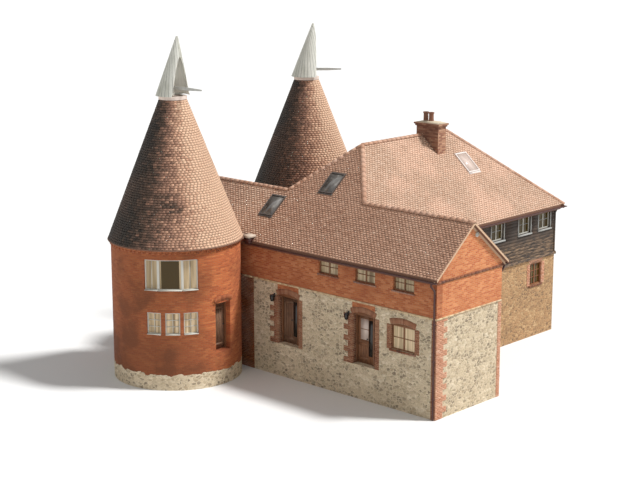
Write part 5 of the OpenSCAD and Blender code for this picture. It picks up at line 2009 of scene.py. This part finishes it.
@dataclass
class Fittings:
    """Lanterns, the vent, the rainwater head and collars, and mortar round the pots.

    Attributes:
        lantern_in, lantern_v: How far a lantern hangs from its doorway, and how high.
        pipe_r, pipe_out: Radius of a collar, and how far its axis stands off the wall.
        collar_v: Heights of the collars.
        hopper_x: Where the rainwater head stands along the range.
        vent: Place of the vent along the gable and up it.
    """

    lantern_in: float = 0.18
    lantern_v: float = 1.95
    pipe_r: float = 0.05
    pipe_out: float = 0.043
    collar_v: tuple[float, ...] = (-0.6, 0.9, 2.35)
    hopper_x: float = 2.05
    vent: Pair = (4.83, 5.49)

    def lantern(self, iron: Solids, glass: Solids, face: Face, u: float, v: float) -> None:
        """Make a wall lantern: a plate, an arm, four panes that narrow down, and a pointed lid.

        Args:
            iron, glass: The pieces that take its metal and its panes.
            face: The wall.
            u, v: Its place along the wall and up it.
        """
        face.slabs(iron, [(u - 0.04, u + 0.04, v - 0.02, v + 0.16, -0.004, 0.014),
                          (u - 0.012, u + 0.012, v + 0.1, v + 0.124, 0.0, 0.14)])
        across, deep = np.array([-1, 1, 1, -1]), np.array([-1, -1, 1, 1])
        rings = [face.at(u + half * across, v + high, 0.14 + half * deep)[None]
                 for half, high in ((0.045, -0.16), (0.07, 0.05), (0.085, 0.06), (0.012, 0.13))]
        glass.prism(*rings[:2])
        iron.prism(*rings[2:])

    def collars(self, made: Solids) -> None:
        """Make the collars that hold the downpipes, each with a block behind it.

        Args:
            made: The piece.
        """
        p = PLAN
        turn = np.linspace(0, math.tau, 14, endpoint=False)
        for way, u in ((Way.FRONT, p.gable - 0.076), (Way.REAR, p.gable - 0.076),
                       (Way.NORTH, p.ridge_x - p.half + 0.114),
                       (Way.NORTH, p.ridge_x + p.half - 0.114)):
            face = Face.flat(way)
            along, out = u + self.pipe_r * np.cos(turn), self.pipe_out + self.pipe_r * np.sin(turn)
            for v in self.collar_v:
                made.prism(*(face.at(along, height, out)[None] for height in (v, v + 0.06)))
                face.slabs(made, [(u - 0.07, u + 0.07, v + 0.01, v + 0.05, -0.004, self.pipe_out)])

    def hopper(self, iron: Solids, cap: Solids) -> None:
        """Make the rainwater head in the corner by the kiln, and its pale cap.

        Args:
            iron, cap: The pieces that take them.
        """
        turn = np.linspace(0, math.tau, 4, endpoint=False) + math.pi / 4
        middle = self.hopper_x, PLAN.front - 0.2
        rings = [PLAN.place(around(middle, radius, turn, v))[None] for radius, v in
                 ((0.1, 4.02), (0.24, 4.14), (0.24, 4.32), (0.3, 4.32), (0.27, 4.42))]
        iron.prism(*rings[:2])
        iron.prism(*rings[1:3])
        cap.prism(*rings[3:])

    def build(self) -> None:
        """Make every fitting."""
        front, gable = Face.flat(Way.FRONT), Face.flat(Way.GABLE)
        iron, panes, pipes = Solids("lanterns"), Solids("lantern_panes"), Solids("pipe_collars")
        cap, vent, bed = Solids("hopper_cap"), Solids("gable_vent"), Solids("pot_bed")
        for x in PLAN.doors:
            self.lantern(iron, panes, front, x - self.lantern_in, self.lantern_v)
        iron.build(IRON, Slot.GUTTER)
        panes.build(DARK_GLASS, Slot.GLASS)
        self.collars(pipes)
        self.hopper(pipes, cap)
        pipes.build(GUTTER, Slot.GUTTER)
        cap.build(LEAD, Slot.GUTTER)
        u, v = self.vent
        gable.disc(vent, u, v, 0.1, -0.01, 0.03)
        gable.slabs(vent, [(u - 0.08, u + 0.08, v - 0.06 + k * 0.04, v - 0.045 + k * 0.04, 0.02,
                            0.042) for k in range(4)])
        vent.build(FRAME_WHITE, Slot.WHITE)
        low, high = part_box("chimney_stack")
        sizes = ((low.x + 0.03, high.x - 0.03, low.y + 0.03, high.y - 0.03, high.z - 0.002),
                 (low.x + 0.3, high.x - 0.3, low.y + 0.2, high.y - 0.2, high.z + 0.07))
        bed.prism(*(np.array([[[x0, y0, z], [x1, y0, z], [x1, y1, z], [x0, y1, z]]])
                    for x0, x1, y0, y1, z in sizes))
        bed.build(MORTAR, Slot.STONE)


@dataclass
class Carcass:
    """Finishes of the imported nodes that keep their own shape."""

    def blinds(self, windows: list[Window], share: float) -> tuple:
        """Give the boxes round some windows' panes.

        Args:
            windows: The windows.
            share: How far the blinds hide the room.

        Returns:
            The lowest and highest corner of each in the frame, with the share.
        """
        boxes = []
        for window in windows:
            corners = window.face.at(window.ends, (window.sill, window.head), -0.11)
            low, high = corners.min(axis=0) - 0.08, corners.max(axis=0) + 0.08
            boxes.append((tuple(low), tuple(high), share))
        return tuple(boxes)

    def dress(self) -> None:
        """Give each shown node its material."""
        p = PLAN
        kilns, hoods = [], []
        for number, spot in enumerate((p.kiln, p.kiln_2), 1):
            brick = Brickwork(f"kiln_brick_{number}", tones=KILN_TONES, centre=spot,
                              radius=p.kiln_r, mortar=tint(190, 130, 86),
                              stain_and_shade=tint(124, 70, 40), stain_share=0.4)
            # The kiln walls take painted shade on their side at -85 degrees.
            kilns.append(BandedWall(f"kiln_masonry_{number}", brick=brick, rubble=RUBBLE,
                                    top=p.floor - 0.75, shade_side=-85.0))
            hoods.append(CowlBoards(f"cowl_paint_{number}", rough=0.55, colour=tint(204, 204, 192),
                                    dirt=tint(142, 142, 118), dirt_share=0.45, centre=spot))
        wide = WINDOWS.kiln_wide()
        blinds = (self.blinds(WINDOWS.range_upper() + wide[:1], 0.62)
                  + self.blinds(wide[2:], 0.84)
                  + self.blinds(WINDOWS.range_ground() + WINDOWS.kiln_low(), 1.0))
        groups: tuple[tuple[Finish, str], ...] = (
            (kilns[0], "kiln_1_window_wall kiln_1_side_wall kiln_1_back_wall kiln_1_door_head"),
            (kilns[1], "kiln_2_outer_wall kiln_2_inner_wall"),
            (replace(kilns[0], name="threshold_masonry", within=p.kiln_r + 0.1),
             "door_thresholds"),
            (BandedWall("back_masonry", brick=BRICK_RED, rubble=RUBBLE,
                        top=p.floor + p.stone_top), "range_back_walls"),
            (SLAB, "kiln_1_roof kiln_2_roof front_roof range_rear_roof main_east_roof"
                   " main_west_roof main_north_roof"),
            (CURB, "kiln_curbs"), (hoods[0], "cowl_1_hood"), (hoods[1], "cowl_2_hood"),
            (WHITE, "cowl_1_vane cowl_2_vane"), (RUBBLE, "front_wall_stone gable_stone"),
            (FRONT_BRICK, "front_wall_brick door_lintels"), (BRICK_RED, "gable_brick"),
            (MAIN_RUBBLE, "main_east_wall main_north_wall main_west_wall"),
            (BOARDING, "main_east_boards main_north_boards main_west_boards"),
            (FLOORING, "kiln_floors ground_floor upper_floor"), (STACK_BRICK, "chimney_stack"),
            (CLAY, "chimney_pots"), (FLASHING, "roof_windows"),
            (FRAME_PAINT, "white_window_frames"),
            (Glazing("window_panes", rough=0.12, blinds=blinds), "window_glass"),
            (TIMBER, "range_window_frames door_frames kiln_door range_door_1 range_door_2"),
            (GUTTER, "rainwater_pipes"),
        )
        looks = {name: finish for finish, names in groups for name in names.split()}
        for name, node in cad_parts.items():
            node.data.materials.clear()
            node.data.materials.append(looks[name].material())
            LOG.info("%s: %s", name, looks[name].name)


# Stage


@dataclass
class Studio:
    """Pale floor, soft lights and the camera at the photograph's place.

    Attributes:
        eye, aim: Where the camera stands and what it looks at, from the plan's own zero.
        lens: Its focal length in millimetres.
        sky: Strength of the even light.
        size: Half width of the floor.
        colour: Colour of the floor.
    """

    eye: Triple = (45.503, -39.947, 17.742)
    aim: Triple = (3.3, 5.2, 3.9)
    lens: float = 84.0
    sky: float = 0.38
    size: float = 260.0
    colour: Colour = (0.82, 0.82, 0.81, 1.0)

    def ground(self) -> None:
        """Lay the floor, in a dull material of one colour."""
        mesh = bpy.data.meshes.new("studio_floor")
        corners = np.array([(-1, -1, 0), (1, -1, 0), (1, 1, 0), (-1, 1, 0)]) * self.size
        mesh.from_pydata(corners.tolist(), [], [(0, 1, 2, 3)])
        floor = bpy.data.objects.new("studio_floor", mesh)
        bpy.context.scene.collection.objects.link(floor)
        floor.location.z = -0.002
        pale = bpy.data.materials.new("studio_pale")
        inputs = Graph(pale).shader.inputs
        inputs["Base Color"].default_value = self.colour
        inputs["Roughness"].default_value = 1.0
        inputs["Specular IOR Level"].default_value = 0.0
        mesh.materials.append(pale)

    def air(self) -> None:
        """Light the house evenly, with white behind it and in what mirrors or lets through.

        The strength is the sky's, and 1 for a ray from the camera, from gloss or through glass.
        """
        world = bpy.data.worlds.new("studio_sky")
        bpy.context.scene.world = world
        graph = Graph(world, "Background")
        rays = graph.node("LightPath").outputs
        seen = Wire(graph, rays["Is Camera Ray"])
        for name in ("Is Glossy Ray", "Is Transmission Ray"):
            seen = seen.most(Wire(graph, rays[name]))
        graph.feed(graph.shader.inputs["Color"], (1.0, 1.0, 1.0, 1.0))
        graph.feed(graph.shader.inputs["Strength"], seen * (1.0 - self.sky) + self.sky)

    def build(self) -> None:
        """Set floor, world, lamps, camera and view transform."""
        scene = bpy.context.scene
        self.ground()
        self.air()
        self.lamp("key_sun", (0.46, 0.36, 0.81), 3.6, 9.0)
        self.lamp("fill_sun", (0.5, -0.8, 0.5), 0.2, 60.0)
        camera = bpy.data.cameras.new("camera")
        camera.lens = self.lens
        camera.sensor_width = 36.0
        camera.clip_end = 600.0
        viewer = bpy.data.objects.new("camera", camera)
        scene.collection.objects.link(viewer)
        eye, aim = (Vector(PLAN.place(np.array(spot))) for spot in (self.eye, self.aim))
        viewer.location = eye
        viewer.rotation_euler = (aim - eye).to_track_quat("-Z", "Y").to_euler()
        scene.camera = viewer
        scene.view_settings.view_transform = "Standard"

    def lamp(self, name: str, direction: Triple, power: float, soft: float) -> None:
        """Add a sun that shines from a direction.

        Args:
            name: Its name.
            direction: Where it stands, seen from the house.
            power: Its strength.
            soft: Its angle in degrees.
        """
        lamp = bpy.data.lights.new(name, "SUN")
        lamp.energy = power
        lamp.angle = math.radians(soft)
        made = bpy.data.objects.new(name, lamp)
        bpy.context.scene.collection.objects.link(made)
        made.rotation_euler = Vector(direction).to_track_quat("Z", "Y").to_euler()


def main() -> None:
    """Build the looks in order."""
    logging.basicConfig(level=logging.INFO, format="%(message)s")
    Carcass().dress()
    Roofs().build()
    Boarding().build()
    Dressings().build()
    Joinery().build()
    Fittings().build()
    Studio().build()


if __name__ == "__main__":
    main()
